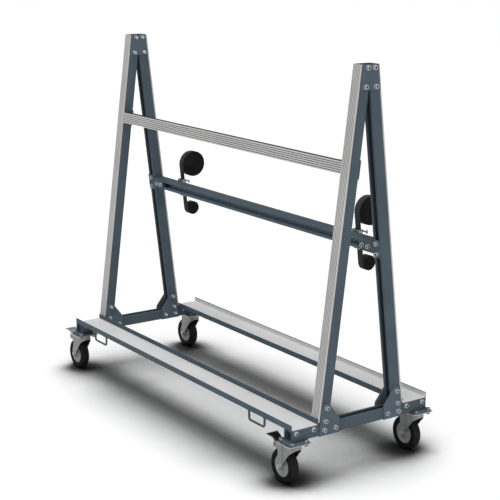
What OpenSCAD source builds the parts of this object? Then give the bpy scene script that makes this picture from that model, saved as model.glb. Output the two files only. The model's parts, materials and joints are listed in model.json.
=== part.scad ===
// Sheet goods cart: two leaning end frames on a pair of narrow decks, with four swivel casters.
// X runs along the cart, Y across it, Z up from the floor. The rear half carries the two rolled straps.

/* [Cart] */
// Length along X over the outer faces of the end frames
cart_length = 1530; // [1350:10:1700]
// Width across Y over the two decks
cart_width = 600; // [580:5:680]
// Height of the tops of the uprights above the floor
cart_height = 1412; // [1300:1:1550]
// From the centre plane to an upright's outer face, at its top
top_half_width = 33.5; // [32:0.5:38]
// From the centre plane to an upright's outer face, where it stands on its cross member
foot_half_width = 182.6; // [170:0.1:190]

/* [Channel] */
// Width and depth of the lipped channel
channel_width = 41; // [38:0.5:42]
// Sheet thickness of the channel
channel_wall = 2.5; // [1.5:0.1:3]
// Width of each lip beside the channel's open slot
channel_lip = 9.6; // [8:0.1:11]
// Depth of each lip's return into the channel
channel_return = 6; // [4:0.5:6.5]
// Outer radius of the channel's long edges
channel_corner = 3.5; // [2.6:0.1:5]

/* [Ribbed strips] */
// Thickness of a rubbing strip over its ribs
strip_thickness = 5.5; // [4.5:0.1:7]
// Number of ribs across a strip
rib_count = 6; // [4:1:8]
// Width of the groove between two ribs
rib_groove = 2.6; // [1.8:0.1:3]
// Depth of the groove between two ribs
rib_depth = 2.4; // [1.5:0.1:3]
// Height of an upright strip's lower end above the cross member
strip_foot = 7; // [4:0.5:12]

/* [Rails] */
// Height of the front rail's centre line at its web
front_rail_height = 1072.5; // [950:0.5:1180]
// Height of the rear rail's centre line at its web
rear_rail_height = 788; // [700:1:880]
// Gap where a rail's end butts against an upright
butt_gap = 0.3; // [0.2:0.05:0.5]
// Height of a rail's bracket plate
bracket_height = 64; // [56:1:72]
// Sheet thickness of the bracket plates
bracket_thickness = 3; // [2:0.5:4]
// Reach of a bracket plate along the rail, from the upright
bracket_reach = 72; // [68:1:90]
// Spacing of a bracket's two bolts in the upright
bracket_bolt_rise = 37; // [34:0.5:39]
// From the upright to the nearer bolt in the rail
bracket_bolt_first = 25; // [22:0.5:27]
// Spacing of a bracket's two bolts in the rail
bracket_bolt_pitch = 31; // [28:0.5:33]

/* [End frame plates] */
// Sheet thickness of the gussets and the top plates
plate_thickness = 5; // [3:0.5:6]
// Height of a top plate
top_plate_height = 84; // [80:1:100]
// Depth of a top plate's upper bolts below the top of the frame
top_bolt_drop = 11; // [10.5:0.5:14]
// Spacing of a top plate's upper and lower bolts
top_bolt_spacing = 61.5; // [56:0.5:63]
// Height of a gusset above the cross member's top
gusset_rise = 71; // [68:1:80]
// Height of a gusset's inner shoulder above the cross member's top
gusset_shoulder = 10; // [6:1:20]
// Width of a gusset's foot along the cross member
gusset_foot = 86; // [80:1:95]
// Width of a gusset's top edge
gusset_crown = 24; // [20:1:30]
// Inset of the plates from the uprights' outer faces
plate_inset = 2.5; // [1:0.5:4]
// Height of a gusset's lower bolt in the upright above the cross member's top
gusset_bolt_low = 10; // [9.5:0.5:13]
// Spacing of a gusset's two bolts in the upright
gusset_bolt_rise = 45; // [40:1:48]
// Spacing of a gusset's two bolts in the cross member
gusset_bolt_pitch = 48; // [44:1:52]

/* [Decks] */
// Sheet thickness of a deck tray
tray_sheet = 1.5; // [1:0.1:2]
// Height of a tray's upstands over its underside
tray_upstand = 20.5; // [18:0.5:30]
// Depth of the tabs that fold down over the cross members' ends
tray_tab = 22.5; // [20:0.5:26]
// Thickness of the liner sheet in a tray
liner_thickness = 1; // [0.8:0.1:2]
// Outer radius of the bend where a liner turns up the tray's outer upstand
liner_bend = 5; // [3:0.5:8]
// Depth of the liner's upper edge below the top of the upstand
liner_edge_drop = 0.8; // [0.5:0.1:2]
// Distance from the tray's end to the slit in the liner's turned-up edge
liner_slit = 27; // [20:1:40]
// Distance of a tab's two bolts from its sides
tab_bolt_edge = 17.5; // [14:0.5:20]
// Head diameter of a deck screw
deck_screw_head = 6; // [4:0.5:8]
// Distance of a deck screw from the tray's inner upstand
deck_screw_inset = 7; // [5:0.5:12]
// Distance of a deck screw from the liner's bend
deck_screw_bend_inset = 4; // [3.5:0.5:8]

/* [Lashing loops] */
// Diameter of a lashing loop's rod
loop_rod = 8; // [6:0.5:10]
// Width of a lashing loop over its rod
loop_width = 100; // [80:1:130]
// Drop of a lashing loop below the deck
loop_drop = 38; // [32:1:42]
// Bend radius of the rod's centre line
loop_bend = 10; // [8:0.5:14]
// Distance of a lashing loop's middle from the cart's end
loop_inset = 207; // [175:1:265]

/* [Casters] */
// Height of a caster over its top plate
caster_height = 162; // [158:0.5:168]
// Diameter of the wheels
wheel_diameter = 125; // [110:0.5:128]
// Width of the tyres
tyre_width = 32; // [26:0.5:34]
// Radius of the tyre's rounded shoulders
tyre_shoulder = 10; // [6:0.5:12]
// Diameter of the hub under the tyre
hub_diameter = 84; // [70:0.5:90]
// Depth of the dish in each face of the hub
hub_dish = 4; // [2:0.5:7]
// Width of the hub's raised rim
hub_rim = 7; // [5:0.5:10]
// Radius of the hub's raised boss
hub_boss = 15; // [12:0.5:20]
// Distance of the wheel's axle behind the swivel axis
caster_trail = 47; // [42:0.5:50]
// Distance of the swivel axes from the ends of the cross members
caster_inset = 25.3; // [22:0.1:28]
// Diameter of the axle
axle_diameter = 10; // [8:0.5:12]
// Diameter of the swivel's king pin
king_pin = 12; // [10:0.5:14]
// Diameter of the swivel's ball race
race_diameter = 44; // [36:0.5:46]
// Height of the ball race over the fork's crown
race_height = 2.7; // [2.2:0.1:4]
// Radial clearance of every pin that turns in a bore
pin_clearance = 0.05; // [0.02:0.01:0.08]
// Gap between faces that slide past each other
face_gap = 0.3; // [0.2:0.05:0.4]

/* [Caster plates] */
// Thickness of the mounting plate under a cross member's end
mounting_thickness = 6; // [5:0.5:8]
// Length of the mounting plate along X
mounting_length = 82; // [80:1:96]
// Width of the mounting plate along Y
mounting_width = 76; // [74:1:84]
// Corner radius of the mounting plate
mounting_corner = 10; // [8:0.5:14]
// Thickness of the caster's own top plate
top_plate_gauge = 4; // [3:0.5:5]
// Length of the caster's top plate along X
top_plate_length = 80; // [79:1:96]
// Width of the caster's top plate along Y
top_plate_width = 92; // [88:1:100]
// Corner radius of the caster's top plate
top_plate_corner = 8; // [6:0.5:12]
// Spacing of the caster bolts along X
caster_bolt_x = 64; // [62:0.5:65]
// Spacing of the caster bolts along Y
caster_bolt_y = 56; // [56:0.5:58]
// Spacing of the slots along each side of the caster's top plate
plate_slot_spacing = 26; // [20:1:32]
// Length of those slots
plate_slot_length = 14; // [10:0.5:18]
// Width of those slots
plate_slot_width = 5; // [4:0.5:6]
// Distance of those slots' middles from the plate's edge
plate_slot_inset = 6; // [5:0.5:8]

/* [Forks] */
// Sheet thickness of a fork
fork_sheet = 3; // [2:0.1:3.5]
// Width of a fork's front over its sheets
fork_front_width = 50; // [48:0.5:52]
// Width of a fork's legs over their sheets
fork_leg_width = 45; // [43:0.5:46]
// Centre of the fork's rounded nose ahead of the swivel axis
fork_nose = 3; // [1:0.5:5]
// Thickness of the fork's crown
fork_crown = 4; // [3:0.5:5]
// Depth of the fork's nose below its crown
fork_nose_depth = 14; // [10:1:24]
// Distance of the step in the fork's legs behind the swivel axis
fork_step = 29; // [27:0.5:30]
// Drop of the legs' upper edge at that step
fork_step_drop = 9; // [8.5:0.5:14]
// Radius of the eye around the axle
fork_eye = 13; // [11:0.5:14]
// Distance of the knee in the legs' front edge behind the swivel axis
fork_knee = 19; // [16:0.5:22]
// Drop of that knee below the crown
fork_knee_drop = 66; // [62:1:70]
// Distance of the brow, where that edge bends towards the nose, ahead of the swivel axis
fork_brow = 3; // [0:0.5:6]
// Drop of that brow below the crown
fork_brow_drop = 37; // [33:1:41]

/* [Brake pedals] */
// Distance of the pedal's pivot behind the swivel axis
pedal_pivot = 76; // [74:0.5:80]
// Drop of the pedal's pivot below the fork's crown
pedal_pivot_drop = 21; // [20:0.5:24]
// Radius of the fork's ears around the pivot
pedal_ear = 11; // [9:0.5:11.5]
// Diameter of the pedal's pivot pin
pedal_pin = 8; // [6:0.5:9]
// Radius of the pedal's barrel around the pivot
pedal_barrel = 7; // [6:0.5:8]
// Reach of the pedal's tip behind the pivot
pedal_reach = 49.3; // [44:0.1:56]
// Rise of the pedal's tip above the pivot
pedal_rise = 23; // [18:0.5:24]
// Width of the left pedal's tip
pedal_tip_width = 50; // [40:1:56]
// Width of the right pedal's narrower tip
pedal_narrow_tip_width = 40; // [32:1:56]
// Width of the pedal's root
pedal_root_width = 24; // [20:1:30]
// Thickness of the pedal's tip
pedal_tip_thickness = 3; // [2:0.5:4]
// Travel of the pedal in degrees
pedal_travel = 18; // [14:1:18]
// Gap left between the brake nose and the tyre when the pedal is down
brake_gap = 0.7; // [0.5:0.1:1.5]

/* [Straps] */
// Width of the webbing
strap_width = 30; // [25:1:35]
// Thickness of the webbing
strap_thickness = 1.45; // [1.2:0.05:1.5]
// Radial step from one turn of a roll to the next
strap_pitch = 2.05; // [2:0.01:2.1]
// Distance of a strap from the middle of its end frame
strap_inset = 165.5; // [125:0.5:205]
// Distance of the webbing from the rear rail's web
strap_standoff = 14; // [13.5:0.5:16]
// Radius of the large roll
big_roll = 53.5; // [52:0.5:58]
// Turns in the large roll
big_turns = 24; // [16:1:24]
// Distance of the large roll's centre above the rail's centre line
big_roll_rise = 82; // [78:1:100]
// Radius of the small roll
small_roll = 28; // [26:0.5:32]
// Turns in the small roll
small_turns = 11; // [7:1:11]
// Distance of the small roll's centre below the rail's centre line
small_roll_drop = 104; // [90:1:120]

/* [Cam buckles] */
// Width of a buckle over its cheeks
buckle_width = 37; // [36:0.5:42]
// Sheet thickness of a buckle
buckle_sheet = 2; // [1.5:0.1:2.5]
// Reach of a buckle below the rail's centre line
buckle_fall = 44; // [40:1:48]
// Radius of the ears around a buckle's guide pin
buckle_ear = 5.5; // [5:0.5:7]
// Radius of the cheeks around the lever's hinge pin
buckle_hinge_ear = 7; // [6:0.5:9]
// Diameter of the lever's hinge pin
lever_pin = 6; // [5:0.5:7]
// Radius of the lever's cam
lever_cam = 9; // [7:0.5:9.5]
// Length of the lever's handle from its pin
lever_length = 42; // [36:1:46]
// Thickness of the lever's handle
lever_thickness = 3; // [2:0.5:4]
// Diameter of the guide pin at the buckle's top
guide_pin = 5; // [4:0.5:6]
// Distance of the guide pin above the rail's centre line
guide_rise = 21.6; // [20:0.1:23]
// Reach of the guide pin's far end from the middle of its strap
guide_reach = 44; // [34:1:50]
// Height of the cross bar on the guide pin's far end
guide_bar = 10.5; // [8:0.5:14]

/* [Fasteners] */
// Diameter of the frame and rail bolts
frame_bolt = 10; // [8:0.5:10]
// Width across the flats of the frame and rail bolts
frame_flats = 16; // [15:0.5:17]
// Diameter of the caster and deck bolts
small_bolt = 8; // [6:0.5:8]
// Width across the flats of the caster and deck bolts
small_flats = 13; // [12:0.5:13]
// Total play of a bolt in its hole
hole_play = 0.6; // [0.4:0.1:1]

/* [Hidden] */
$fn = 48;

// Colours
slate = [0.23, 0.28, 0.33];
strip_grey = [0.68, 0.68, 0.67];
liner_grey = [0.80, 0.80, 0.79];
zinc = [0.72, 0.72, 0.70];
hub_grey = [0.56, 0.57, 0.57];
tyre_black = [0.06, 0.06, 0.06];
pedal_black = [0.05, 0.05, 0.05];
webbing_black = [0.07, 0.07, 0.08];

// One overrun serves every cut
overrun = 1;
hex_sides = 6;
sides = [-1, 1];

// Heights
crown_z = caster_height - top_plate_gauge - race_height - face_gap;
cross_bottom = caster_height + mounting_thickness;
cross_top = cross_bottom + channel_width;
axle_z = wheel_diameter / 2;

// Lean of the uprights
lean_run = foot_half_width - top_half_width;
lean_rise = cart_height - cross_top;
lean_angle = atan(lean_run / lean_rise);
upright_length = lean_rise / cos(lean_angle);
function web_y(height) = foot_half_width - (height - cross_top) * tan(lean_angle);
function upright_centre_y(height) = web_y(height) - channel_width / 2 / cos(lean_angle);

// Places along X and Y
frame_x = cart_length / 2 - channel_width / 2;
frame_inner_x = cart_length / 2 - channel_width;
mitre_gap = 0.4;
caster_y = cart_width / 2 - caster_inset;
pedal_tip_x = pedal_pivot + pedal_reach;
centring_shift = (pedal_tip_x - mounting_length / 2) / 2;

// Trays
tray_inner = foot_half_width + strip_thickness / cos(lean_angle) - strip_foot * tan(lean_angle) + face_gap;
tray_outer = cart_width / 2;
deck_z = cross_top + tray_sheet + liner_thickness;
liner_gap = 0.3;
deck_screw = 3;
deck_screw_stub = 3;
// The deck screws' places along X, as shares of the cart's half length
deck_screw_shares = [-0.523, -0.051, 0.486];
liner_slit_width = 1.5;
tab_side_gap = 2;
tab_width = tray_outer - tray_inner - 2 * tab_side_gap;
tab_bolt_spacing = tab_width - 2 * tab_bolt_edge;
tab_bolt_z = cross_top - tray_tab / 2;
tab_middle = (tray_inner + tray_outer) / 2;
loop_middle = cart_length / 2 - loop_inset;

// Bolts
frame_hole = frame_bolt + hole_play;
small_hole = small_bolt + hole_play;
head_share = 0.64;
flange_share = 1.22;
flange_thickness_share = 0.15;
nut_share = 0.8;
stub_share = 0.25;
nut_play = 0.3;
socket_share = 0.5;
channel_nut_length_share = 0.8;
channel_nut_height = 8;

// Gussets and top plates
gusset_bolt_heights = [cross_top + gusset_bolt_low, cross_top + gusset_bolt_low + gusset_bolt_rise];
cross_bolt_z = cross_bottom + channel_width / 2;
cross_bolt_outer = upright_centre_y(cross_bolt_z);
cross_bolt_places = [cross_bolt_outer, cross_bolt_outer - gusset_bolt_pitch];
top_bolt_heights = [cart_height - top_bolt_drop, cart_height - top_bolt_drop - top_bolt_spacing];

// Forks
fork_front_half = fork_front_width / 2;
fork_leg_half = fork_leg_width / 2;
fork_nose_front = fork_nose + fork_front_half;
fork_step_run = 4;
fork_crown_slope = 5;
fork_rear = caster_trail + fork_eye;
fork_rear_drop = 13;

// Hubs
hub_half = fork_leg_half - fork_sheet - face_gap;
hub_rim_inset = 1.5;
hub_seat_half = tyre_width / 2 - hub_rim_inset;
hub_web_half = hub_seat_half - hub_dish;
axle_head_flats = 16;

// Brake pedals
pedal_side_gap = face_gap;
pedal_barrel_half = fork_leg_half - fork_sheet - pedal_side_gap;
pedal_under_drop = 4;
pedal_neck_reach = 16;
wheel_to_pivot = norm([pedal_pivot - caster_trail, crown_z - pedal_pivot_drop - axle_z]);
brake_nose_radius = 3;
brake_nose_reach = wheel_to_pivot - wheel_diameter / 2 - brake_gap - brake_nose_radius;
brake_nose_angle = atan2(crown_z - pedal_pivot_drop - axle_z, pedal_pivot - caster_trail);

// Straps
strap_middle = frame_x - strap_inset;
roll_steps = 16;
strap_edge = strap_thickness / 2 / cos(180 / roll_steps);
big_start = big_roll - strap_thickness / 2;
small_start = small_roll - strap_thickness / 2;

// Buckles
buckle_hinge = strap_standoff + strap_thickness / 2 + face_gap + lever_cam;
guide_height = strap_standoff + strap_thickness / 2 + face_gap + guide_pin / 2;
buckle_bolt_drop = 12;
buckle_bolt = 6;
buckle_bolt_flats = 10;
guide_bar_thickness = 3;
lever_throw = 1.5;

// Profiles

module rounded_rectangle(size_x, size_y, radius) {
    square([size_x - 2 * radius, size_y], center = true);
    square([size_x, size_y - 2 * radius], center = true);
    for (sx = sides, sy = sides)
        translate([sx * (size_x / 2 - radius), sy * (size_y / 2 - radius)]) circle(r = radius);
}

// Lipped channel with its web's outer face on the X axis and its open side towards -Y
module channel_section() {
    slot = channel_width - 2 * channel_lip;
    inner = channel_width - 2 * channel_wall;
    translate([0, -channel_width / 2]) difference() {
        rounded_rectangle(channel_width, channel_width, channel_corner);
        rounded_rectangle(inner, inner, channel_corner - channel_wall);
        translate([-slot / 2, -channel_width / 2 - overrun])
            square([slot, channel_width / 2]);
    }
    for (side = sides)
        translate([side * (slot / 2 + channel_wall / 2) - channel_wall / 2, -channel_width])
            square([channel_wall, channel_return]);
}

// Ribbed strip with its flat back on the X axis and its ribs towards +Y
module strip_section() {
    rib_width = (channel_width - (rib_count - 1) * rib_groove) / rib_count;
    translate([-channel_width / 2, 0]) {
        square([channel_width, strip_thickness - rib_depth]);
        for (rib = [0 : rib_count - 1])
            translate([rib * (rib_width + rib_groove), 0]) square([rib_width, strip_thickness]);
    }
}

// Placing

// Shifts the cart so that the origin is under the middle of its bounding box
module placed() {
    translate([centring_shift, 0, 0]) children();
}

// A rear upright's web plane: local Z runs up the slope, local Y points out of the web
module on_lean(height) {
    translate([0, web_y(height), height]) rotate([lean_angle, 0, 0]) children();
}

module front_side() {
    mirror([0, 1, 0]) children();
}

module at_side_y(side) {
    if (side < 0) front_side() children();
    else children();
}

// The middle of a swivel caster's axis on the floor
module at_caster(side_x, side_y) {
    translate([side_x * frame_x, side_y * caster_y, 0]) children();
}

// A plane shape in Y and Z, with its thickness along +X
module plate_along_x(thickness) {
    rotate([90, 0, 90]) linear_extrude(height = thickness) children();
}

// A side view in X and Z, with its thickness centred on Y
module slab_along_y(width) {
    rotate([90, 0, 0]) linear_extrude(height = width, center = true) children();
}

// A round bar along X that starts at x = 0
module bar_x(diameter, length) {
    rotate([0, 90, 0]) cylinder(d = diameter, h = length);
}

// A round bar centred on Y
module bar_y(diameter, length) {
    rotate([90, 0, 0]) cylinder(d = diameter, h = length, center = true);
}

// Fasteners along +Z: the head's seat is at z = 0 and the shank runs down by the grip and the stub

module hex_bolt(diameter, flats, grip, stub) {
    flange = flats * flange_share;
    flange_thickness = diameter * flange_thickness_share;
    head = diameter * head_share;
    union() {
        cylinder(d = flange, h = flange_thickness);
        cylinder(d = flats / cos(180 / hex_sides), h = flange_thickness + head, $fn = hex_sides);
        translate([0, 0, -grip - stub]) cylinder(d = diameter, h = grip + stub + overrun);
    }
}

module hex_nut(diameter, flats) {
    difference() {
        translate([0, 0, -diameter * nut_share])
            cylinder(d = flats / cos(180 / hex_sides), h = diameter * nut_share, $fn = hex_sides);
        translate([0, 0, -diameter * nut_share - overrun])
            cylinder(d = diameter + 2 * pin_clearance, h = diameter * nut_share + 2 * overrun);
    }
}

// A bolt with its nut under the grip
module through_bolt(diameter, flats, grip) {
    hex_bolt(diameter, flats, grip, diameter * (nut_share + stub_share));
    translate([0, 0, -grip]) hex_nut(diameter, flats);
}

// A socket head bolt with a flange
module socket_bolt(diameter, flats, grip) {
    flange = flats * flange_share;
    head = diameter * head_share;
    difference() {
        union() {
            cylinder(d = flange, h = diameter * flange_thickness_share);
            cylinder(d = flats, h = head);
            translate([0, 0, -grip - diameter * (nut_share + stub_share)])
                cylinder(d = diameter, h = grip + diameter * (nut_share + stub_share) + overrun);
        }
        translate([0, 0, head * socket_share])
            cylinder(d = diameter * head_share, h = head, $fn = hex_sides);
    }
    translate([0, 0, -grip]) hex_nut(diameter, flats);
}

// End frames

// Cuts the shared bolt holes along X through the plates and flanges of one end frame
module end_frame_holes(span) {
    for (side = sides) {
        for (height = concat(gusset_bolt_heights, top_bolt_heights))
            translate([-span / 2, side * upright_centre_y(height), height]) bar_x(frame_hole, span);
        for (place = cross_bolt_places)
            translate([-span / 2, side * place, cross_bolt_z]) bar_x(frame_hole, span);
    }
}

module upright(side_x, side_y) {
    color(slate) translate([side_x * frame_x, 0, 0]) at_side_y(side_y) difference() {
        intersection() {
            on_lean(cross_top) translate([0, 0, -channel_width])
                linear_extrude(height = upright_length + 2 * channel_width) channel_section();
            translate([-channel_width, mitre_gap / 2, cross_top])
                cube([2 * channel_width, cart_width, lean_rise]);
        }
        end_frame_holes(2 * channel_width);
    }
}

module cross_member(side_x) {
    color(slate) translate([side_x * frame_x, 0, 0]) difference() {
        translate([0, -cart_width / 2, cross_bottom]) rotate([-90, 0, 0])
            linear_extrude(height = cart_width) channel_section();
        end_frame_holes(2 * channel_width);
        for (side = sides, place = sides)
            translate([-channel_width, side * (tab_middle + place * tab_bolt_spacing / 2), tab_bolt_z])
                bar_x(small_hole, 2 * channel_width);
    }
}

// A gusset's outline in Y and Z: an inner foot, a slope, and an outer edge along the upright
module gusset_outline() {
    top = cross_top + gusset_rise;
    outer_top = web_y(top) - plate_inset;
    outer_foot = web_y(cross_bottom) - plate_inset;
    polygon([
        [outer_foot - gusset_foot, cross_bottom],
        [outer_foot, cross_bottom],
        [outer_top, top],
        [outer_top - gusset_crown, top],
        [outer_foot - gusset_foot, cross_top + gusset_shoulder]
    ]);
}

module top_plate_outline() {
    foot = cart_height - top_plate_height;
    top_half = web_y(cart_height) - plate_inset;
    foot_half = web_y(foot) - plate_inset;
    polygon([[-foot_half, foot], [foot_half, foot], [top_half, cart_height], [-top_half, cart_height]]);
}

// Both faces of an end frame carry the same plate
module on_both_faces() {
    translate([channel_width / 2, 0, 0]) children();
    translate([-channel_width / 2 - plate_thickness, 0, 0]) children();
}

module gussets(side_x) {
    color(slate) translate([side_x * frame_x, 0, 0]) difference() {
        on_both_faces() for (side = sides)
            at_side_y(side) plate_along_x(plate_thickness) gusset_outline();
        end_frame_holes(2 * channel_width);
    }
}

module top_plates(side_x) {
    color(slate) translate([side_x * frame_x, 0, 0]) difference() {
        on_both_faces() plate_along_x(plate_thickness) top_plate_outline();
        end_frame_holes(2 * channel_width);
    }
}

// Rails between the end frames

// A bar between the end frames, with its section's web facing out of the lean
module between_frames(height) {
    length = 2 * (frame_inner_x - butt_gap);
    on_lean(height) translate([-length / 2, 0, 0]) plate_along_x(length) rotate(-90) children();
}

module front_rail() {
    color(slate) front_side() between_frames(front_rail_height) channel_section();
}

module rear_rail() {
    color(slate) difference() {
        between_frames(rear_rail_height) channel_section();
        on_lean(rear_rail_height) for (side = sides)
            translate([side * strap_middle, 0, -buckle_bolt_drop])
                bar_y(buckle_bolt + hole_play, 2 * channel_wall + 2 * overrun);
    }
}

// Bolt places on a bracket, as [x, slope] from the rail's centre line
bracket_bolt_places = [
    [frame_x, bracket_bolt_rise / 2],
    [frame_x, -bracket_bolt_rise / 2],
    [frame_inner_x - bracket_bolt_first, 0],
    [frame_inner_x - bracket_bolt_first - bracket_bolt_pitch, 0]
];

// Plates on the open sides of a rail and its two uprights
module rail_brackets(height) {
    start = frame_inner_x - bracket_reach;
    length = bracket_reach + channel_width;
    color(slate) on_lean(height) for (side = sides) difference() {
        translate([side > 0 ? start : -start - length, -channel_width - bracket_thickness, 0])
            rail_bracket_plate(side, length);
        for (place = bracket_bolt_places)
            translate([side * place[0], -channel_width - bracket_thickness / 2, place[1]])
                bar_y(frame_hole, bracket_thickness + 2 * overrun);
    }
}

// An L of two bars: one along the rail and one up the upright
module rail_bracket_plate(side, length) {
    translate([0, 0, -channel_width / 2]) cube([length, bracket_thickness, channel_width]);
    translate([side > 0 ? length - channel_width : 0, 0, -bracket_height / 2])
        cube([channel_width, bracket_thickness, bracket_height]);
}

module rubbing_strip(side_x, side_y) {
    color(strip_grey) translate([side_x * frame_x, 0, 0]) at_side_y(side_y) intersection() {
        on_lean(cross_top) linear_extrude(height = upright_length + channel_width) strip_section();
        translate([-channel_width, 0, cross_top + strip_foot])
            cube([2 * channel_width, cart_width, lean_rise - strip_foot]);
    }
}

module rail_strip() {
    color(strip_grey) front_side() between_frames(front_rail_height) strip_section();
}

// Decks

module tray_holes() {
    for (side_x = sides, place = sides)
        translate([side_x * cart_length / 2 - 2 * tray_sheet,
                tab_middle + place * tab_bolt_spacing / 2, tab_bolt_z])
            bar_x(small_hole, 4 * tray_sheet);
    at_deck_screws() translate([0, 0, -2 * tray_sheet - liner_thickness])
        cylinder(d = deck_screw + hole_play, h = 2 * tray_sheet + liner_thickness);
}

// The screws through a liner and its tray in two rows, placed on the liner's top
module at_deck_screws() {
    inner_row = tray_inner + tray_sheet + deck_screw_inset;
    outer_row = tray_outer - tray_sheet - liner_gap - liner_bend - deck_screw_bend_inset;
    for (share = deck_screw_shares, row = [inner_row, outer_row])
        translate([share * cart_length / 2, row, deck_z]) children();
}

// The rear tray: a sheet with two upstands, and a tab folded down over each cross member
module tray() {
    width = tray_outer - tray_inner;
    color(slate) difference() {
        union() {
            translate([-cart_length / 2, 0, 0]) plate_along_x(cart_length) difference() {
                translate([tray_inner, cross_top]) square([width, tray_upstand]);
                translate([tray_inner + tray_sheet, cross_top + tray_sheet])
                    square([width - 2 * tray_sheet, tray_upstand]);
            }
            for (side = sides)
                translate([side > 0 ? cart_length / 2 : -cart_length / 2 - tray_sheet,
                        tray_inner + tab_side_gap, cross_top - tray_tab])
                    cube([tray_sheet, tab_width, tray_tab + tray_sheet]);
        }
        tray_holes();
    }
}

// The liner lies in the tray and turns up the outer upstand with a round bend
module deck_liner_section() {
    clear = tray_sheet + liner_gap;
    floor_z = cross_top + tray_sheet;
    edge_y = tray_outer - clear;
    edge_z = cross_top + tray_upstand - liner_edge_drop;
    translate([tray_inner + clear, floor_z])
        square([edge_y - liner_bend - tray_inner - clear, liner_thickness]);
    translate([edge_y - liner_thickness, floor_z + liner_bend])
        square([liner_thickness, edge_z - floor_z - liner_bend]);
    translate([edge_y - liner_bend, floor_z + liner_bend]) intersection() {
        difference() {
            circle(r = liner_bend);
            circle(r = liner_bend - liner_thickness);
        }
        translate([0, -liner_bend]) square(liner_bend);
    }
}

module deck_liner() {
    color(liner_grey) difference() {
        translate([-cart_length / 2, 0, 0]) plate_along_x(cart_length) deck_liner_section();
        at_deck_screws() translate([0, 0, -liner_thickness - overrun])
            cylinder(d = deck_screw_head + hole_play, h = liner_thickness + 2 * overrun);
        for (side = sides)
            translate([side * (cart_length / 2 - liner_slit) - liner_slit_width / 2,
                    tray_outer - liner_bend, deck_z + liner_bend])
                cube([liner_slit_width, liner_bend, tray_upstand]);
    }
}

// The heads stand on the tray in holes through the liner, flush with its top
module deck_screws() {
    shank = liner_thickness + tray_sheet + deck_screw_stub;
    color(zinc) for (side_y = sides) at_side_y(side_y) at_deck_screws() {
        translate([0, 0, -liner_thickness]) cylinder(d = deck_screw_head, h = liner_thickness);
        translate([0, 0, -shank]) cylinder(d = deck_screw, h = shank);
    }
}

// A rod bent into a U that hangs from the tray's underside
module lashing_loop() {
    half = loop_width / 2 - loop_rod / 2;
    low = cross_top - loop_drop - tray_sheet + loop_rod / 2;
    leg = cross_top - low - loop_bend;
    translate([0, tray_outer - loop_rod / 2 - tray_sheet, 0]) {
        for (side = sides) {
            translate([side * half, 0, cross_top - leg]) cylinder(d = loop_rod, h = leg);
            translate([side * (half - loop_bend), 0, low + loop_bend])
                rotate([90, 0, 0]) intersection() {
                    rotate_extrude() translate([loop_bend, 0]) circle(d = loop_rod);
                    translate([side > 0 ? 0 : -loop_bend - loop_rod, -loop_bend - loop_rod, -loop_rod])
                        cube([loop_bend + loop_rod, loop_bend + loop_rod, 2 * loop_rod]);
                }
        }
        translate([loop_bend - half, 0, low]) bar_x(loop_rod, 2 * (half - loop_bend));
    }
}

module lashing_loops() {
    color(slate) for (side_x = sides, side_y = sides)
        translate([side_x * loop_middle, 0, 0]) at_side_y(side_y) lashing_loop();
}

// Casters

module caster_bolt_pattern() {
    for (sx = sides, sy = sides)
        translate([sx * caster_bolt_x / 2, sy * caster_bolt_y / 2, 0]) children();
}

module mounting_plates() {
    color(slate) for (side_x = sides, side_y = sides)
        at_caster(side_x, side_y) translate([0, 0, caster_height])
            linear_extrude(height = mounting_thickness) difference() {
                rounded_rectangle(mounting_length, mounting_width, mounting_corner);
                caster_bolt_pattern() circle(d = small_hole);
            }
}

module slot(length, width) {
    square([length - width, width], center = true);
    for (end = sides) translate([end * (length - width) / 2, 0]) circle(d = width);
}

module caster_top_plates() {
    color(zinc) for (side_x = sides, side_y = sides)
        at_caster(side_x, side_y) translate([0, 0, caster_height - top_plate_gauge])
            linear_extrude(height = top_plate_gauge) difference() {
                rounded_rectangle(top_plate_length, top_plate_width, top_plate_corner);
                caster_bolt_pattern() circle(d = small_hole);
                for (end = sides, side = sides)
                    translate([end * plate_slot_spacing / 2, side * (top_plate_width / 2 - plate_slot_inset)])
                        slot(plate_slot_length, plate_slot_width);
            }
}

// The ball race, the king pin through the crown and its riveted head below the crown
module swivel_bearings() {
    crown_under = crown_z - fork_crown;
    head_height = 4;
    head_diameter = race_diameter / 2;
    color(zinc) for (side_x = sides, side_y = sides) at_caster(side_x, side_y) {
        translate([0, 0, crown_z + face_gap]) cylinder(d = race_diameter, h = race_height);
        translate([0, 0, crown_under - face_gap - head_height / 2])
            cylinder(d = king_pin, h = crown_z - crown_under + 2 * face_gap + head_height);
        translate([0, 0, crown_under - face_gap - head_height])
            cylinder(d = head_diameter, h = head_height);
    }
}

// A fork's plan: a rounded nose, a wide front and narrower legs behind the step
module fork_plan(inset) {
    front_half = fork_front_half - inset;
    leg_half = fork_leg_half - inset;
    back = -pedal_pivot - pedal_ear - overrun;
    translate([fork_nose, 0]) circle(r = front_half);
    polygon([
        [fork_nose, -front_half],
        [fork_nose, front_half],
        [fork_step_run / 2 - fork_step, front_half],
        [-fork_step - fork_step_run / 2, leg_half],
        [back, leg_half],
        [back, -leg_half],
        [-fork_step - fork_step_run / 2, -leg_half],
        [fork_step_run / 2 - fork_step, -front_half]
    ]);
}

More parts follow.
